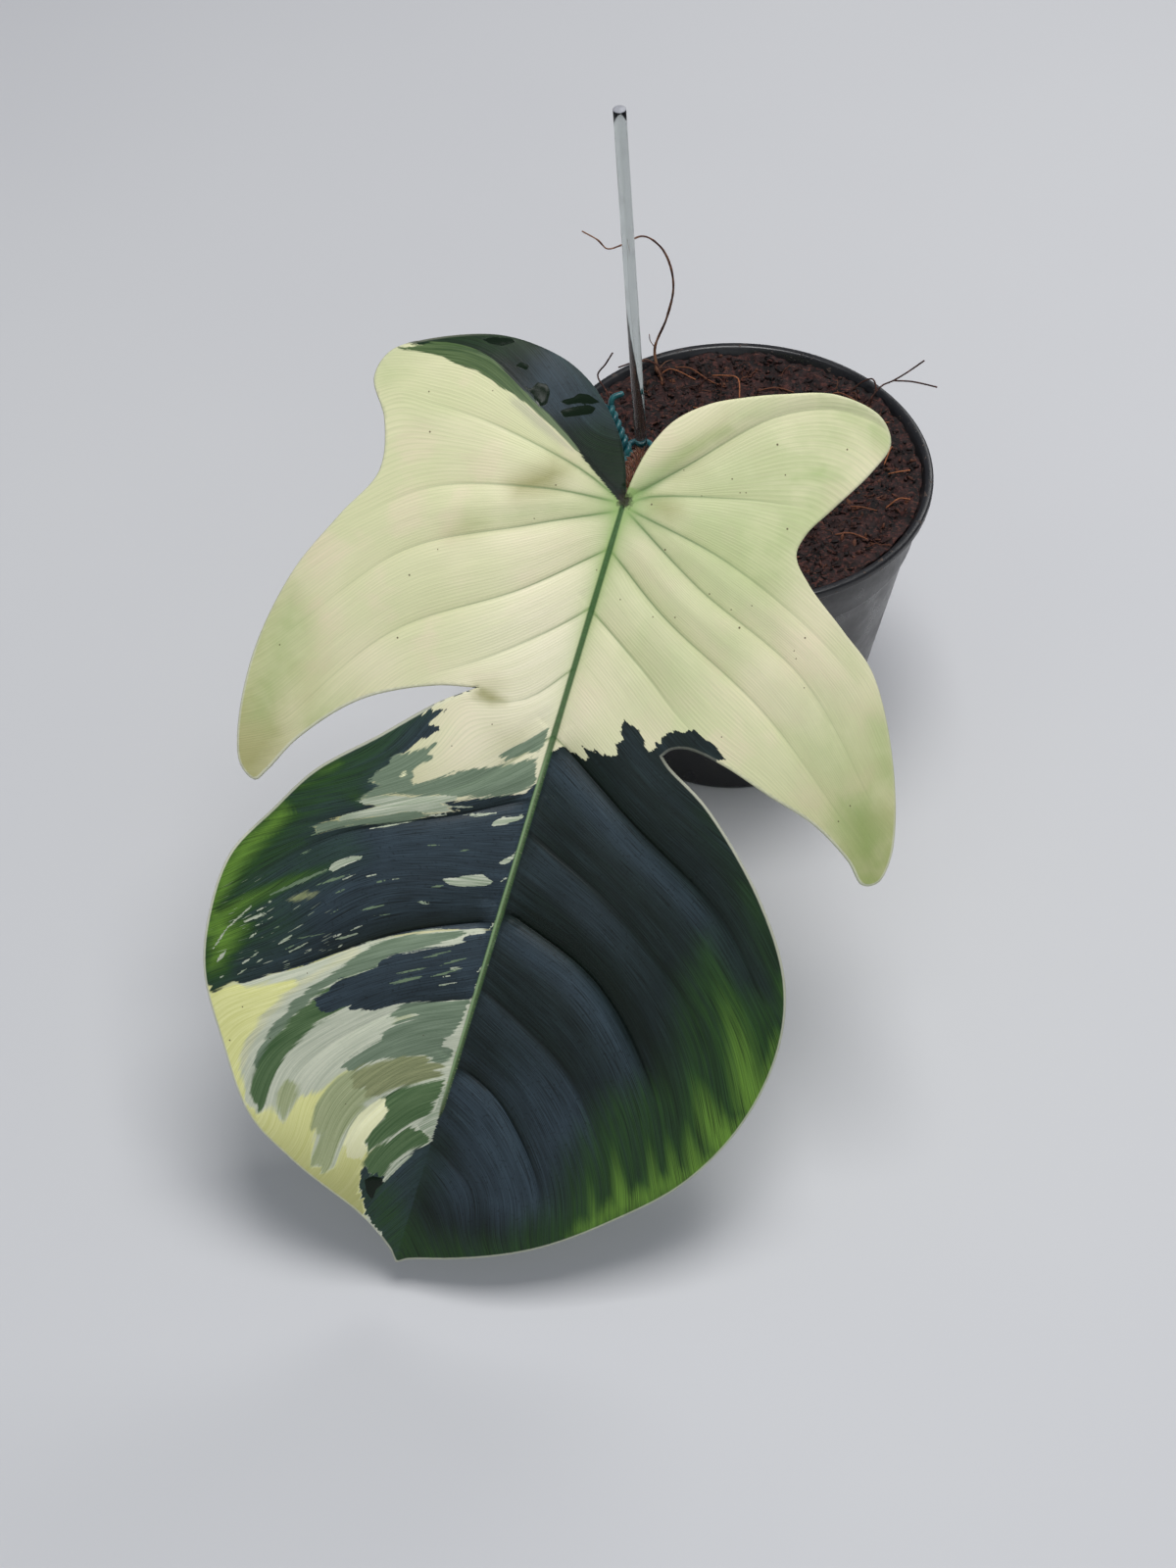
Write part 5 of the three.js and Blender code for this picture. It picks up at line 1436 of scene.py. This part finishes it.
def rib_height(points):
    """How far the midrib and the veins stand out under the blade."""
    u, v = points.T
    taper = 1 - 0.8 * v / BLADE_LENGTH
    height = MIDRIB_HEIGHT * taper * np.sqrt(np.clip(1 - (u / MIDRIB_HALF_WIDTH) ** 2, 0, 1))
    height *= smooth(v, -1.5, 1.5)
    for line in [LEFT_COSTA_LINE, RIGHT_COSTA_LINE, *(line for line, *_ in VEIN_LINES)]:
        distance, along, _ = near_line(points, line)
        height = np.maximum(height, VEIN_HEIGHT * (1 - along) * np.exp(-(distance / VEIN_WIDTH) ** 2))
    return height


def vein_fields(points, reach):
    """The veins' own lines, the shade above each side vein, and the sheen below it."""
    veinlet, shade, sheen = (np.zeros(len(points)) for _ in range(3))
    for line, upper, strength in [*VEIN_LINES, (LEFT_COSTA_LINE, 0, 0), (RIGHT_COSTA_LINE, 0, 0)]:
        near = close_to(points, line, VEINLET_REACH)
        distance, along, side = near_line(points[near], line)
        close = np.exp(-reach[near] / JUNCTION_REACH)
        sharp = (0.55 + 0.45 * close) * np.exp(-(distance / VEINLET_WIDTH) ** 2)
        soft = (0.06 + 0.6 * close) * np.exp(-distance / VEINLET_BLUR) * (1 if upper else 1.6)
        raise_to(veinlet, near, np.maximum(sharp, soft) * (1 - 0.7 * along))
        if upper:
            fade = min(1, 0.14 + 0.86 * strength) * np.minimum(1, 1.6 * (1 - along)) * smooth(along, 0, 0.08)
            above = smooth(distance, 0, 0.45) * np.exp(-distance / (2 + 3.5 * strength))
            below = smooth(distance, 0, 2) * np.exp(-((distance - SWELL_PLACE) / 5) ** 2)
            raise_to(shade, near, np.where(side == upper, fade * above, 0))
            raise_to(sheen, near, np.where(side == upper, 0, fade * below))
    return veinlet, shade, sheen


def blade_fields(points):
    """Every field that the leaf's skin reads, at flat blade points."""
    u, v = points.T
    row, run = fine_rows(points)
    spiked = frayed(points, row)
    reach = np.hypot(u, v)
    veinlet, shade, sheen = vein_fields(points, reach)
    half_width = 0.73 * (1 - 0.55 * smooth(v, 130, 230))
    # Where the dark skin gets more painted sheen: low on the right and on the folded upper left lobe
    low_right = np.exp(-((u - 24) / 20) ** 2) * smooth(v, 158, 183) * smooth(v, 226, 204)
    upper_left = smooth(v, -12, -20) * smooth(u, -44, -30) * (u < 0)
    left_edge = smooth(u, -45, -65) * smooth(v, 118, 130) * smooth(v, 212, 187)
    halo = 0.95 * np.exp(-np.abs(u) / 2.6) * smooth(v, 92, 12) * (v > -4) + 0.7 * np.exp(-reach / 8)
    fields = {
        "row": row,
        "run": run * np.sign(u),
        "midrib": u,
        "down": v,
        "rib": np.where(v > 1, half_width - np.abs(u), -1) - 2 * smooth(v, 186, 200),
        "edge": nearest_gap(points, blade_outline(EDGE_STEP))[0],
        "reach": reach,
        "veinlet": veinlet,
        "shade": shade,
        "sheen": sheen,
        "halo": np.clip(halo, 0, 0.9),
        # Painted highlight along the midrib
        "midrib_highlight": smooth(v - 30 * (u > 0), 5, 50) * smooth(np.abs(u), 45, 5) * np.where(u > 0, 0.5, 1),
        # Painted shade that grows towards the lobes' tips
        "painted_tip_shade": smooth(reach, 78, 136),
        # Share of painted bluish sheen on the dark skin: more left of the midrib, low on the right, on the
        # folded left lobe and below the side veins
        "painted_sheen_share": np.where(u < 0, 0.86, 0.24) * smooth(v, -10, 20) + 0.9 * low_right + 0.35 * sheen
                 + 0.75 * upper_left,
        "margin": np.clip(0.18 + 0.5 * smooth(v, 62, 74) + 0.9 * left_edge, 0, 1) * smooth(reach, 55, 75),
        "fleck": smooth(u, -82, -74) * smooth(u, -40, -52) * smooth(v, 132, 142) * smooth(v, 164, 156),
        "speck": speck_shape(points),
        "dull": streak_depth(points, DULL_LINES, DULL_STREAKS),
    }
    for key in MARKING_AREAS:
        fields[key] = area_depth(points if key in ("wet", "mint") else spiked, key)
    for key in TINT_AREAS:
        fields[key] = tint_strength(spiked, key)
    fields["mint"] = np.maximum(fields["mint"], streak_depth(points, MINT_LINES, MINT_STREAKS))
    fields["lime"] = np.maximum(fields["lime"], finger_strength(points))
    return fields


def make_leaf():
    """The blade: a fine upper face, a coarser under face with the ribs, and a rounded rim."""
    outline = blade_outline(UPPER_STEP)
    upper, upper_faces = lattice(outline, UPPER_STEP, feature_points(outline), BLADE_SEED)
    ribs = np.vstack([*vein_curves(UNDER_STEP), midrib_line(0, RIB_POINTS)])
    ribs = thinned(ribs, outline, 0.6 * UNDER_STEP)
    under, under_faces = lattice(outline, UNDER_STEP, ribs, UNDER_SEED)
    fields, under_fields = blade_fields(upper), blade_fields(under)

    wet = smooth(fields["wet"], -0.08, 0.72)
    ahead = np.roll(outline, -1, axis=0) - np.roll(outline, 1, axis=0)
    outward = np.c_[-ahead[:, 1], ahead[:, 0]] / np.linalg.norm(ahead, axis=1)[:, None]
    outward = outward @ np.array([ACROSS, ALONG])
    points = np.vstack([
        on_surface(upper, BLADE_THICKNESS / 2 + WATER_DEPTH * wet),
        on_surface(under, -(BLADE_THICKNESS / 2 + rib_height(under))),
        on_surface(outline, 0) + BLADE_RIM * outward,
    ])

    def facing(faces, direction):
        """Faces, all turned over if the first one's front looks away from a direction."""
        a, b, c = points[list(faces[0][:3])]
        return [face[::1 if np.cross(b - a, c - a) @ direction > 0 else -1] for face in faces]

    under_faces = [tuple(i + len(upper) for i in face) for face in under_faces]
    first = len(upper) + len(under)
    upper_rim = nearest_gap(outline, upper)[1]
    under_rim = [i + len(upper) for i in nearest_gap(outline, under)[1]]
    rim = sleeve([upper_rim, range(first, first + len(outline)), under_rim])
    groups = facing(upper_faces, OUT), facing(under_faces, -OUT), facing(rim, outward[0])
    kinds = np.repeat(np.array([0, 1, 0], np.int32), [len(group) for group in groups])
    skins = [leaf_material("leaf_upper", 0.0, 0.42, 0.56), leaf_material("leaf_under", 0.45, 0.55, 0.68)]
    leaf = mesh_piece("squamiferum_leaf", (points, sum(groups, [])), skins, "leaf_blade", kinds)
    for key, values in fields.items():
        point_field(leaf, key, np.r_[values, under_fields[key], values[upper_rim]])


# Pot

def pot_profile():
    """Outline of the pot's wall, from the base's middle round the rim and back down inside."""
    def quarter(height, start):
        """A quarter of the rim's round edge, from an angle."""
        return [(RIM_RADIUS - RIM_ROUND + math.cos(a), height + math.sin(a))
                for a in np.linspace(start, start + np.pi / 2, 5)]
    return [
        (0, 1.0), (24, 1.0), (26, 0), (BASE_RADIUS - 1.5, 0), (BASE_RADIUS - 0.45, 0.2),
        (BASE_RADIUS, 0.8), (BASE_RADIUS + 0.2, 2), (BODY_TOP_RADIUS - 0.1, COLLAR_BOTTOM - 1.6),
        (BODY_TOP_RADIUS + 0.3, COLLAR_BOTTOM - 0.7), (COLLAR_BOTTOM_RADIUS - 0.2, COLLAR_BOTTOM - 0.2),
        (COLLAR_BOTTOM_RADIUS, COLLAR_BOTTOM + 0.5), (COLLAR_TOP_RADIUS, POT_HEIGHT - RIM_BEAD - 0.3),
        (COLLAR_TOP_RADIUS + 0.4, POT_HEIGHT - RIM_BEAD),
        *quarter(POT_HEIGHT - RIM_BEAD + RIM_ROUND, -np.pi / 2), *quarter(POT_HEIGHT - RIM_ROUND, 0),
        (RIM_RADIUS - 2, POT_HEIGHT), (RIM_RADIUS - 2.6, POT_HEIGHT - 0.25),
        (RIM_RADIUS - 3, POT_HEIGHT - 0.8),
        (COLLAR_TOP_RADIUS - WALL + 0.5, POT_HEIGHT - 3), (COLLAR_TOP_RADIUS - WALL, POT_HEIGHT - 4.5),
        (COLLAR_BOTTOM_RADIUS - WALL, COLLAR_BOTTOM + 0.5),
        (BODY_TOP_RADIUS - WALL - 0.2, COLLAR_BOTTOM - 1.2), (BASE_RADIUS - WALL, WALL + 0.6),
        (BASE_RADIUS - WALL - 0.8, WALL), (27, WALL), (25, 2.5), (0, 2.5),
    ]


def pot_material():
    skin = Skin("pot_black_plastic", Specular_IOR_Level=0.5)
    dust = skin.noise(60, 6, 0.65)
    height = skin.node("SeparateXYZ", {0: skin.place}).outputs[2]
    near_rim = skin.ramp(skin.ramp(height, 0.098, POT_HEIGHT * MM), 0.0, 1.0, 0.06, 0.75)
    specks = skin.times(skin.ramp(skin.noise(420, 4, 0.6), 0.62, 0.68), near_rim)
    skin.put(
        Base_Color=skin.laid(POT_BLACK, (skin.times(skin.ramp(dust, 0.5, 0.72), 0.5), POT_DUST),
                             (specks, POT_SOIL)),
        Roughness=skin.plus(skin.ramp(dust, 0.35, 0.7, 0.26, 0.42), skin.times(specks, 0.3)),
    )
    skin.bump(skin.plus(dust, skin.times(specks, 1.5)), 0.00012)
    return skin.material


def make_pot():
    wall = turned(pot_profile(), POT_SEGMENTS)
    pot = mesh_piece("nursery_pot", wall, [pot_material()], "pot")
    cutters = []
    for centre in DRAIN_RING_RADIUS * circle(DRAIN_HOLE_COUNT):
        ring = centre + DRAIN_HOLE_RADIUS * circle(DRAIN_HOLE_SEGMENTS)
        ends = np.vstack([level_ring(ring, -2), level_ring(ring, 4)])
        cutters.append((ends, capped(ring_numbers(2, DRAIN_HOLE_SEGMENTS))))
    cutter = new_object("drain_cutter", new_mesh("drain_cutter", *joined(cutters)))
    cut = pot.modifiers.new("drain", "BOOLEAN")
    cut.operation = "DIFFERENCE"
    cut.object = cutter
    graph = bpy.context.evaluated_depsgraph_get()
    made = bpy.data.meshes.new_from_object(pot.evaluated_get(graph))
    pot.modifiers.clear()
    pot.data = made
    bpy.data.objects.remove(cutter)


# Potting mix

def mix_height(x, y):
    """Top of the mix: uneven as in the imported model, and banked up towards the rim."""
    waves = (
        0.5 * np.sin(0.31 * x + 1.3) * np.cos(0.27 * y)
        + 0.35 * np.sin(0.71 * y + 0.4 * x)
        + 0.25 * np.sin(1.13 * x - 0.9 * y + 2)
    )
    return MIX_TOP + MIX_BUMP * waves + BANK_HEIGHT * smooth(np.hypot(x, y), BANK_START, BANK_END)


def crumbs(points):
    """Crumbly height of the mix, from rounded grains of several sizes."""
    random = np.random.default_rng(CRUMB_SEED)
    height = np.zeros(len(points))
    for spacing, rise in GRAINS:
        count = int(4 * GRAIN_FIELD ** 2 / spacing ** 2)
        grains = random.uniform(-GRAIN_FIELD, GRAIN_FIELD, (count, 2))
        sizes = random.uniform(0.6, 1.0, count)
        gap, nearest = nearest_gap(points, grains)
        height += rise * sizes[nearest] * (1 - smooth(gap, 0, 0.75 * spacing))
    return height


def mix_material():
    skin = Skin("coir_mix", Roughness=0.8, Specular_IOR_Level=0.35)
    bits = skin.noise(700, 3, 0.6)
    strands = skin.stretched((260, 1500, 900), 2, (0.3, 0.2, 0.9))
    tone = skin.field("tone")
    skin.put(Base_Color=skin.laid(
        skin.blend(skin.ramp(skin.noise(190, 4, 0.6), 0.4, 0.62), *MIX_TONES),
        (skin.ramp(bits, 0.5, 0.66), MIX_BITS),
        (skin.ramp(strands, 0.63, 0.7), MIX_STRANDS),
        (skin.ramp(tone, 0.0, 1.0), MIX_LIGHT),
        (skin.ramp(tone, 0.0, -1.0), MIX_DARK),
    ))
    skin.bump(skin.plus(bits, skin.times(strands, 0.7)), 0.0006)
    return skin.material


def chip(random):
    """A flat, broken flake of coir pith."""
    length, width, thick = (random.uniform(*r) for r in (CHIP_LENGTHS, CHIP_WIDTHS, CHIP_THICKNESSES))
    turns = (np.arange(CHIP_CORNERS) + random.uniform(-0.3, 0.3, CHIP_CORNERS)) / CHIP_CORNERS
    angles = 2 * np.pi * turns
    ring = np.c_[length / 2 * np.cos(angles), width / 2 * np.sin(angles)]
    points = np.vstack([level_ring(ring, -thick / 2), level_ring(0.8 * ring, thick / 2)])
    return points, capped(ring_numbers(2, CHIP_CORNERS))


def turned_by(points, angles):
    """Points turned about X, Y and then Z."""
    for axis, angle in enumerate(angles):
        a, b = (axis + 1) % 3, (axis + 2) % 3
        c, s = math.cos(angle), math.sin(angle)
        points = points.copy()
        points[:, a], points[:, b] = c * points[:, a] - s * points[:, b], s * points[:, a] + c * points[:, b]
    return points


def random_spot(random, radius):
    """A random place no further than radius from the pot's axis."""
    angle, reach = random.uniform(0, 2 * np.pi), radius * math.sqrt(random.uniform(0, 1))
    return reach * math.cos(angle), reach * math.sin(angle)


def fibre_path(random):
    """A short, winding path over the mix, without the part beyond the pot."""
    x, y = random_spot(random, MIX_RADIUS - 6)
    turn = random.uniform(0, 2 * np.pi)
    step = random.uniform(*MIX_FIBRE_LENGTHS) / (MIX_FIBRE_POINTS - 1)
    path = []
    for share in np.linspace(0, 1, MIX_FIBRE_POINTS):
        rise = 0.2 + random.uniform(*MIX_FIBRE_RISES) * math.sin(math.pi * share)
        path.append((x, y, mix_height(x, y) + rise))
        turn += random.normal(0, 0.35)
        x += step * math.cos(turn)
        y += step * math.sin(turn)
    return [p for p in path if math.hypot(p[0], p[1]) < MIX_RADIUS - 0.6]


def mix_body():
    """The crumbly top of the mix on a body that fills the pot."""
    rim = MIX_RADIUS * circle(MIX_SEGMENTS)
    flat, faces = lattice(rim, MIX_STEP, np.zeros((0, 2)), MIX_LATTICE_SEED)
    steady = smooth(np.hypot(*flat.T), MIX_RADIUS, MIX_RADIUS - 2.5)
    top = np.c_[flat, mix_height(*flat.T) + crumbs(flat) * (0.35 + 0.65 * steady) - 0.7]
    body = [level_ring(r * circle(MIX_SEGMENTS), z) for r, z in MIX_BODY]
    points = np.vstack([top, *body, [[0, 0, MIX_FLOOR]]])
    rings = [nearest_gap(rim, flat)[1], *ring_numbers(len(body), MIX_SEGMENTS, len(top))]
    last = rings[-1]
    foot = [(last[i], len(points) - 1, last[j]) for i, j in around(MIX_SEGMENTS)]
    return points, faces + sleeve(rings[::-1]) + foot


def make_mix():
    """The mix, with chips and fibres in its top."""
    parts = []
    tones = []

    def add(part, tone):
        parts.append(part)
        tones.append(np.full(len(part[0]), tone))

    random = np.random.default_rng(MIX_SEED)
    add(mix_body(), 0.0)
    for _ in range(CHIP_COUNT):
        points, faces = chip(random)
        points = turned_by(points, (*random.normal(0, CHIP_TILT, 2), random.uniform(0, 2 * np.pi)))
        x, y = random_spot(random, MIX_RADIUS - 2.2)
        place = [x, y, mix_height(x, y) + random.uniform(-0.2, 0.5)]
        add((points + place, faces), random.uniform(-0.8, 0.35))
    for _ in range(MIX_FIBRE_COUNT):
        path = fibre_path(random)
        if len(path) >= 4:
            add(tube(curve_through(path, 1.0), random.uniform(*MIX_FIBRE_RADII), 5),
                random.uniform(-0.7, 0.4))
    for path, tone in SEEN_FIBRES:
        lifted = [(x, y, mix_height(x, y) + z - 0.2) for x, y, z in path]
        add(tube(curve_through(lifted, 0.6), SEEN_FIBRE_RADIUS, FIBRE_SIDES), tone)
    for path in EDGE_FIBRES:
        add(tube(curve_through(path, 0.7), EDGE_FIBRE_RADIUS, FIBRE_SIDES), 0.15)
    mix = mesh_piece("coir_potting_mix", joined(parts), [mix_material()], "potting_mix")
    point_field(mix, "tone", np.concatenate(tones))


def make_long_fibre():
    """The long fibre at the back of the pot, with a knot at its foot and hairs beside it."""
    skin = Skin("coir_fibre", Roughness=0.6)
    skin.put(Base_Color=skin.blend(skin.ramp(skin.noise(260, 3), 0.35, 0.65), *FIBRE_TONES))
    skin.bump(skin.noise(2200, 2), 0.0001)
    path = curve_through(LONG_FIBRE, 0.8)
    share = np.linspace(0, 1, len(path))
    radii = LONG_FIBRE_RADIUS * (1 - 0.45 * share + 0.12 * smooth_random(share * 40, FIBRE_SEED))
    knot = curve_through(FIBRE_KNOT, 0.4)
    bulge = 0.9 * np.sin(np.linspace(0.25, np.pi - 0.25, len(knot)))
    hairs = [tube(curve_through(side, 0.6), HAIR_RADIUS, 6) for side in SIDE_HAIRS]
    shape = joined([tube(path, radii, 10), tube(knot, bulge, 10), *hairs])
    mesh_piece("long_coir_fibre", shape, [skin.material], "coir_fibre")


# Stake and tie

def stake_materials():
    """The stake's clear side, and its sawn ends."""
    clear = Skin("clear_acrylic", Transmission_Weight=1.0, IOR=1.49)
    haze = clear.noise(240, 4)
    clear.put(Base_Color=clear.blend(clear.ramp(haze, 0.5, 0.8), *ACRYLIC_TONES),
              Roughness=clear.ramp(haze, 0.4, 0.75, 0.02, 0.14))
    clear.bump(clear.stretched((900, 900, 12), 2), 0.00006)
    sawn = Skin("sawn_acrylic", Roughness=0.55, Transmission_Weight=0.35, IOR=1.49)
    sawn.put(Base_Color=sawn.blend(sawn.noise(900, 3), *SAWN_TONES))
    return [clear.material, sawn.material]


def make_stake():
    length = np.linalg.norm(STAKE_TOP - STAKE_FOOT)
    direction = (STAKE_TOP - STAKE_FOOT) / length
    round_it = circle(STAKE_SEGMENTS) @ square_to(direction, [0, 1, 0])
    inner = [STAKE_BEVEL, *np.linspace(STAKE_END, length - STAKE_END, STAKE_RINGS), length - STAKE_BEVEL]
    stops = [(0, STAKE_RADIUS - STAKE_BEVEL), *[(stop, STAKE_RADIUS) for stop in inner],
             (length, STAKE_RADIUS - STAKE_BEVEL)]
    points = np.vstack([STAKE_FOOT + direction * stop + radius * round_it for stop, radius in stops])
    faces = capped(ring_numbers(len(stops), STAKE_SEGMENTS))
    kinds = np.zeros(len(faces), np.int32)
    kinds[-2 - STAKE_SEGMENTS:] = 1
    mesh_piece("clear_stake", (points, faces), stake_materials(), "stake", kinds)


def tie_material():
    skin = Skin("teal_wire_coat")
    shade = skin.noise(320, 4)
    skin.put(Base_Color=skin.blend(skin.ramp(shade, 0.35, 0.7), *TEAL_TONES),
             Roughness=skin.ramp(shade, 0.4, 0.7, 0.28, 0.5))
    skin.bump(skin.noise(1300, 2), 0.00008)
    return skin.material


def make_tie():
    """A loop round the stake, a loop round the petiole, and the wire's two ends twisted."""
    base = np.array([0, 0, TIE_HEIGHT])
    parts = []
    for loop in (STAKE_LOOP, PETIOLE_LOOP):
        loop = np.array(loop) + base
        path = curve_through([*loop[-2:], *loop, *loop[:3]], WIRE_STEP)
        first = int(np.argmin(np.linalg.norm(path - loop[0], axis=1)))
        last = first + 20 + int(np.argmin(np.linalg.norm(path[first + 20:] - loop[0], axis=1)))
        parts.append(tube(path[first:last], WIRE_RADIUS, WIRE_SIDES, closed=True))
    start, end = base + TWIST_START, base + TWIST_END
    sides = square_to((end - start) / np.linalg.norm(end - start), [0, 0, 1])
    for phase, tail in zip((0, math.pi), WIRE_TAILS):
        share = np.linspace(0, 1, TWIST_POINTS * TWIST_TURNS + 1)
        angle = 2 * math.pi * TWIST_TURNS * share + phase
        strand = start + np.outer(share, end - start)
        strand += 0.9 * WIRE_RADIUS * np.c_[np.cos(angle), np.sin(angle)] @ sides
        path = curve_through([*strand, *(np.array(tail) + base)], WIRE_STEP)
        parts.append(tube(path, WIRE_RADIUS, WIRE_SIDES))
    mesh_piece("wire_tie", joined(parts), [tie_material()], "twist_tie")


# Stem and petiole

def stem_material():
    skin = Skin("stem_skin", Roughness=0.55)
    bands = skin.stretched((60, 60, 420), 3)
    spots = skin.noise(700, 4)
    skin.put(Base_Color=skin.laid(skin.blend(skin.ramp(bands, 0.4, 0.62), *STEM_TONES),
                                  (skin.ramp(spots, 0.55, 0.68), STEM_SPOTS)))
    skin.bump(skin.plus(bands, spots), 0.0003)
    return skin.material


def make_stem():
    """The short stem in the mix, with rings where old leaves were, and a pointed bud."""
    heights = np.arange(STEM_BOTTOM, STEM_TOP + 0.01, 0.5)
    share = (heights - STEM_BOTTOM) / (STEM_TOP - STEM_BOTTOM)
    ring = np.abs((share * STEM_RINGS) % 1 - 0.5)
    radii = STEM_RADIUS - RING_DEPTH + RING_DEPTH * np.exp(-(ring / RING_WIDTH) ** 2)
    path = np.c_[np.full(len(heights), STEM_X), np.full(len(heights), STEM_Y), heights]
    bud = curve_through(BUD_PATH, 0.5)
    bud_radii = BUD_RADIUS * np.clip(1.15 - np.linspace(0, 1, len(bud)), 0.05, 1) ** 0.6
    shape = joined([tube(path, radii, STEM_SIDES), tube(bud, bud_radii, BUD_SIDES)])
    mesh_piece("short_stem", shape, [stem_material()], "stem")


def petiole_material():
    skin = Skin("petiole_skin", Roughness=0.5)
    flow = skin.noise(300, 4)
    bristle = skin.field("bristle")
    reds = skin.blend(skin.ramp(bristle, 0.1, 1.0), *BRISTLE_TONES)
    skin.put(Base_Color=skin.laid(skin.blend(skin.ramp(flow, 0.4, 0.62), *PETIOLE_TONES),
                                  (skin.ramp(bristle, 0.0, 0.12), reds)))
    skin.bump(flow, 0.0002)
    return skin.material


def make_petiole():
    """The bristly leaf stalk, from the stem's top to the blade."""
    *end_place, end_depth = PETIOLE_END
    end = on_surface(np.array([end_place]), end_depth)[0]
    path = curve_through([*PETIOLE_PATH, end], 0.6)
    share = np.linspace(0, 1, len(path))
    radii = PETIOLE_RADIUS + (PETIOLE_BASE_RADIUS - PETIOLE_RADIUS) * np.exp(-14 * share)
    parts = [tube(path, radii, PETIOLE_SIDES)]
    tones = [np.zeros(len(parts[0][0]))]
    tangents, normals, binormals = moving_frames(path)
    random = np.random.default_rng(BRISTLE_SEED)
    bare = (path[:, 2] > TIE_HEIGHT - 5) & (path[:, 2] < TIE_HEIGHT + 4)
    open_places = np.flatnonzero(~bare & (share > 0.03) & (share < 0.95))
    for _ in range(BRISTLE_COUNT):
        k = int(random.choice(open_places))
        angle = random.uniform(0, 2 * np.pi)
        outward = math.cos(angle) * normals[k] + math.sin(angle) * binormals[k]
        lean = tangents[k] * random.uniform(-0.25, 0.75)
        length = BRISTLE_LENGTH * random.uniform(0.45, 1.0) * min(1, (1 - share[k]) / 0.09)
        root = path[k] + outward * (radii[k] - BRISTLE_DEPTH)
        middle = root + (outward + 0.3 * lean) * length * 0.55
        tip = root + (outward * 0.85 + lean) * length
        spine = curve_through([root, middle, tip], length / 3)
        bristle = tube(spine, BRISTLE_RADIUS * np.linspace(1, 0.12, len(spine)), BRISTLE_SIDES)
        parts.append(bristle)
        tones.append(np.linspace(0.15, 1, len(bristle[0])) * random.uniform(0.5, 1))
    petiole = mesh_piece("bristly_petiole", joined(parts), [petiole_material()], "petiole")
    point_field(petiole, "bristle", np.concatenate(tones))


# Camera, floor and light

def make_camera():
    data = bpy.data.cameras.new("camera")
    data.lens = LENS
    data.sensor_width = SENSOR
    camera = new_object("camera", data)
    camera.location = CAMERA_PLACE * MM
    camera.rotation_euler = (math.radians(CAMERA_TILT), 0, 0)
    bpy.context.scene.camera = camera


def make_floor():
    skin = Skin("pale_floor", Roughness=0.75)
    skin.put(Base_Color=skin.blend(skin.noise(3.0, 3.0), *FLOOR_TONES))
    corners = FLOOR_SIZE / 2 * np.array([(-1, -1, 0), (1, -1, 0), (1, 1, 0), (-1, 1, 0)])
    mesh = new_mesh("floor", corners, [(0, 1, 2, 3)])
    mesh.materials.append(skin.material)
    new_object("floor", mesh)


def make_light():
    bpy.context.scene.view_settings.view_transform = "Standard"
    world = bpy.data.worlds.new("studio")
    bpy.context.scene.world = world
    world.use_nodes = True
    background = world.node_tree.nodes["Background"]
    background.inputs["Color"].default_value = SKY_COLOUR
    background.inputs["Strength"].default_value = SKY_STRENGTH
    for name, (place, size, power, colour) in LIGHTS.items():
        data = bpy.data.lights.new(name, "AREA")
        data.shape = "RECTANGLE"
        data.size, data.size_y = size
        data.energy = power
        data.color = colour
        light = new_object(name, data)
        light.location = place
        light.rotation_euler = (Vector(LIGHT_AIM) - Vector(place)).to_track_quat("-Z", "Y").to_euler()


make_camera()
make_floor()
make_light()
make_leaf()
make_petiole()
make_stem()
make_tie()
make_stake()
make_mix()
make_long_fibre()
make_pot()
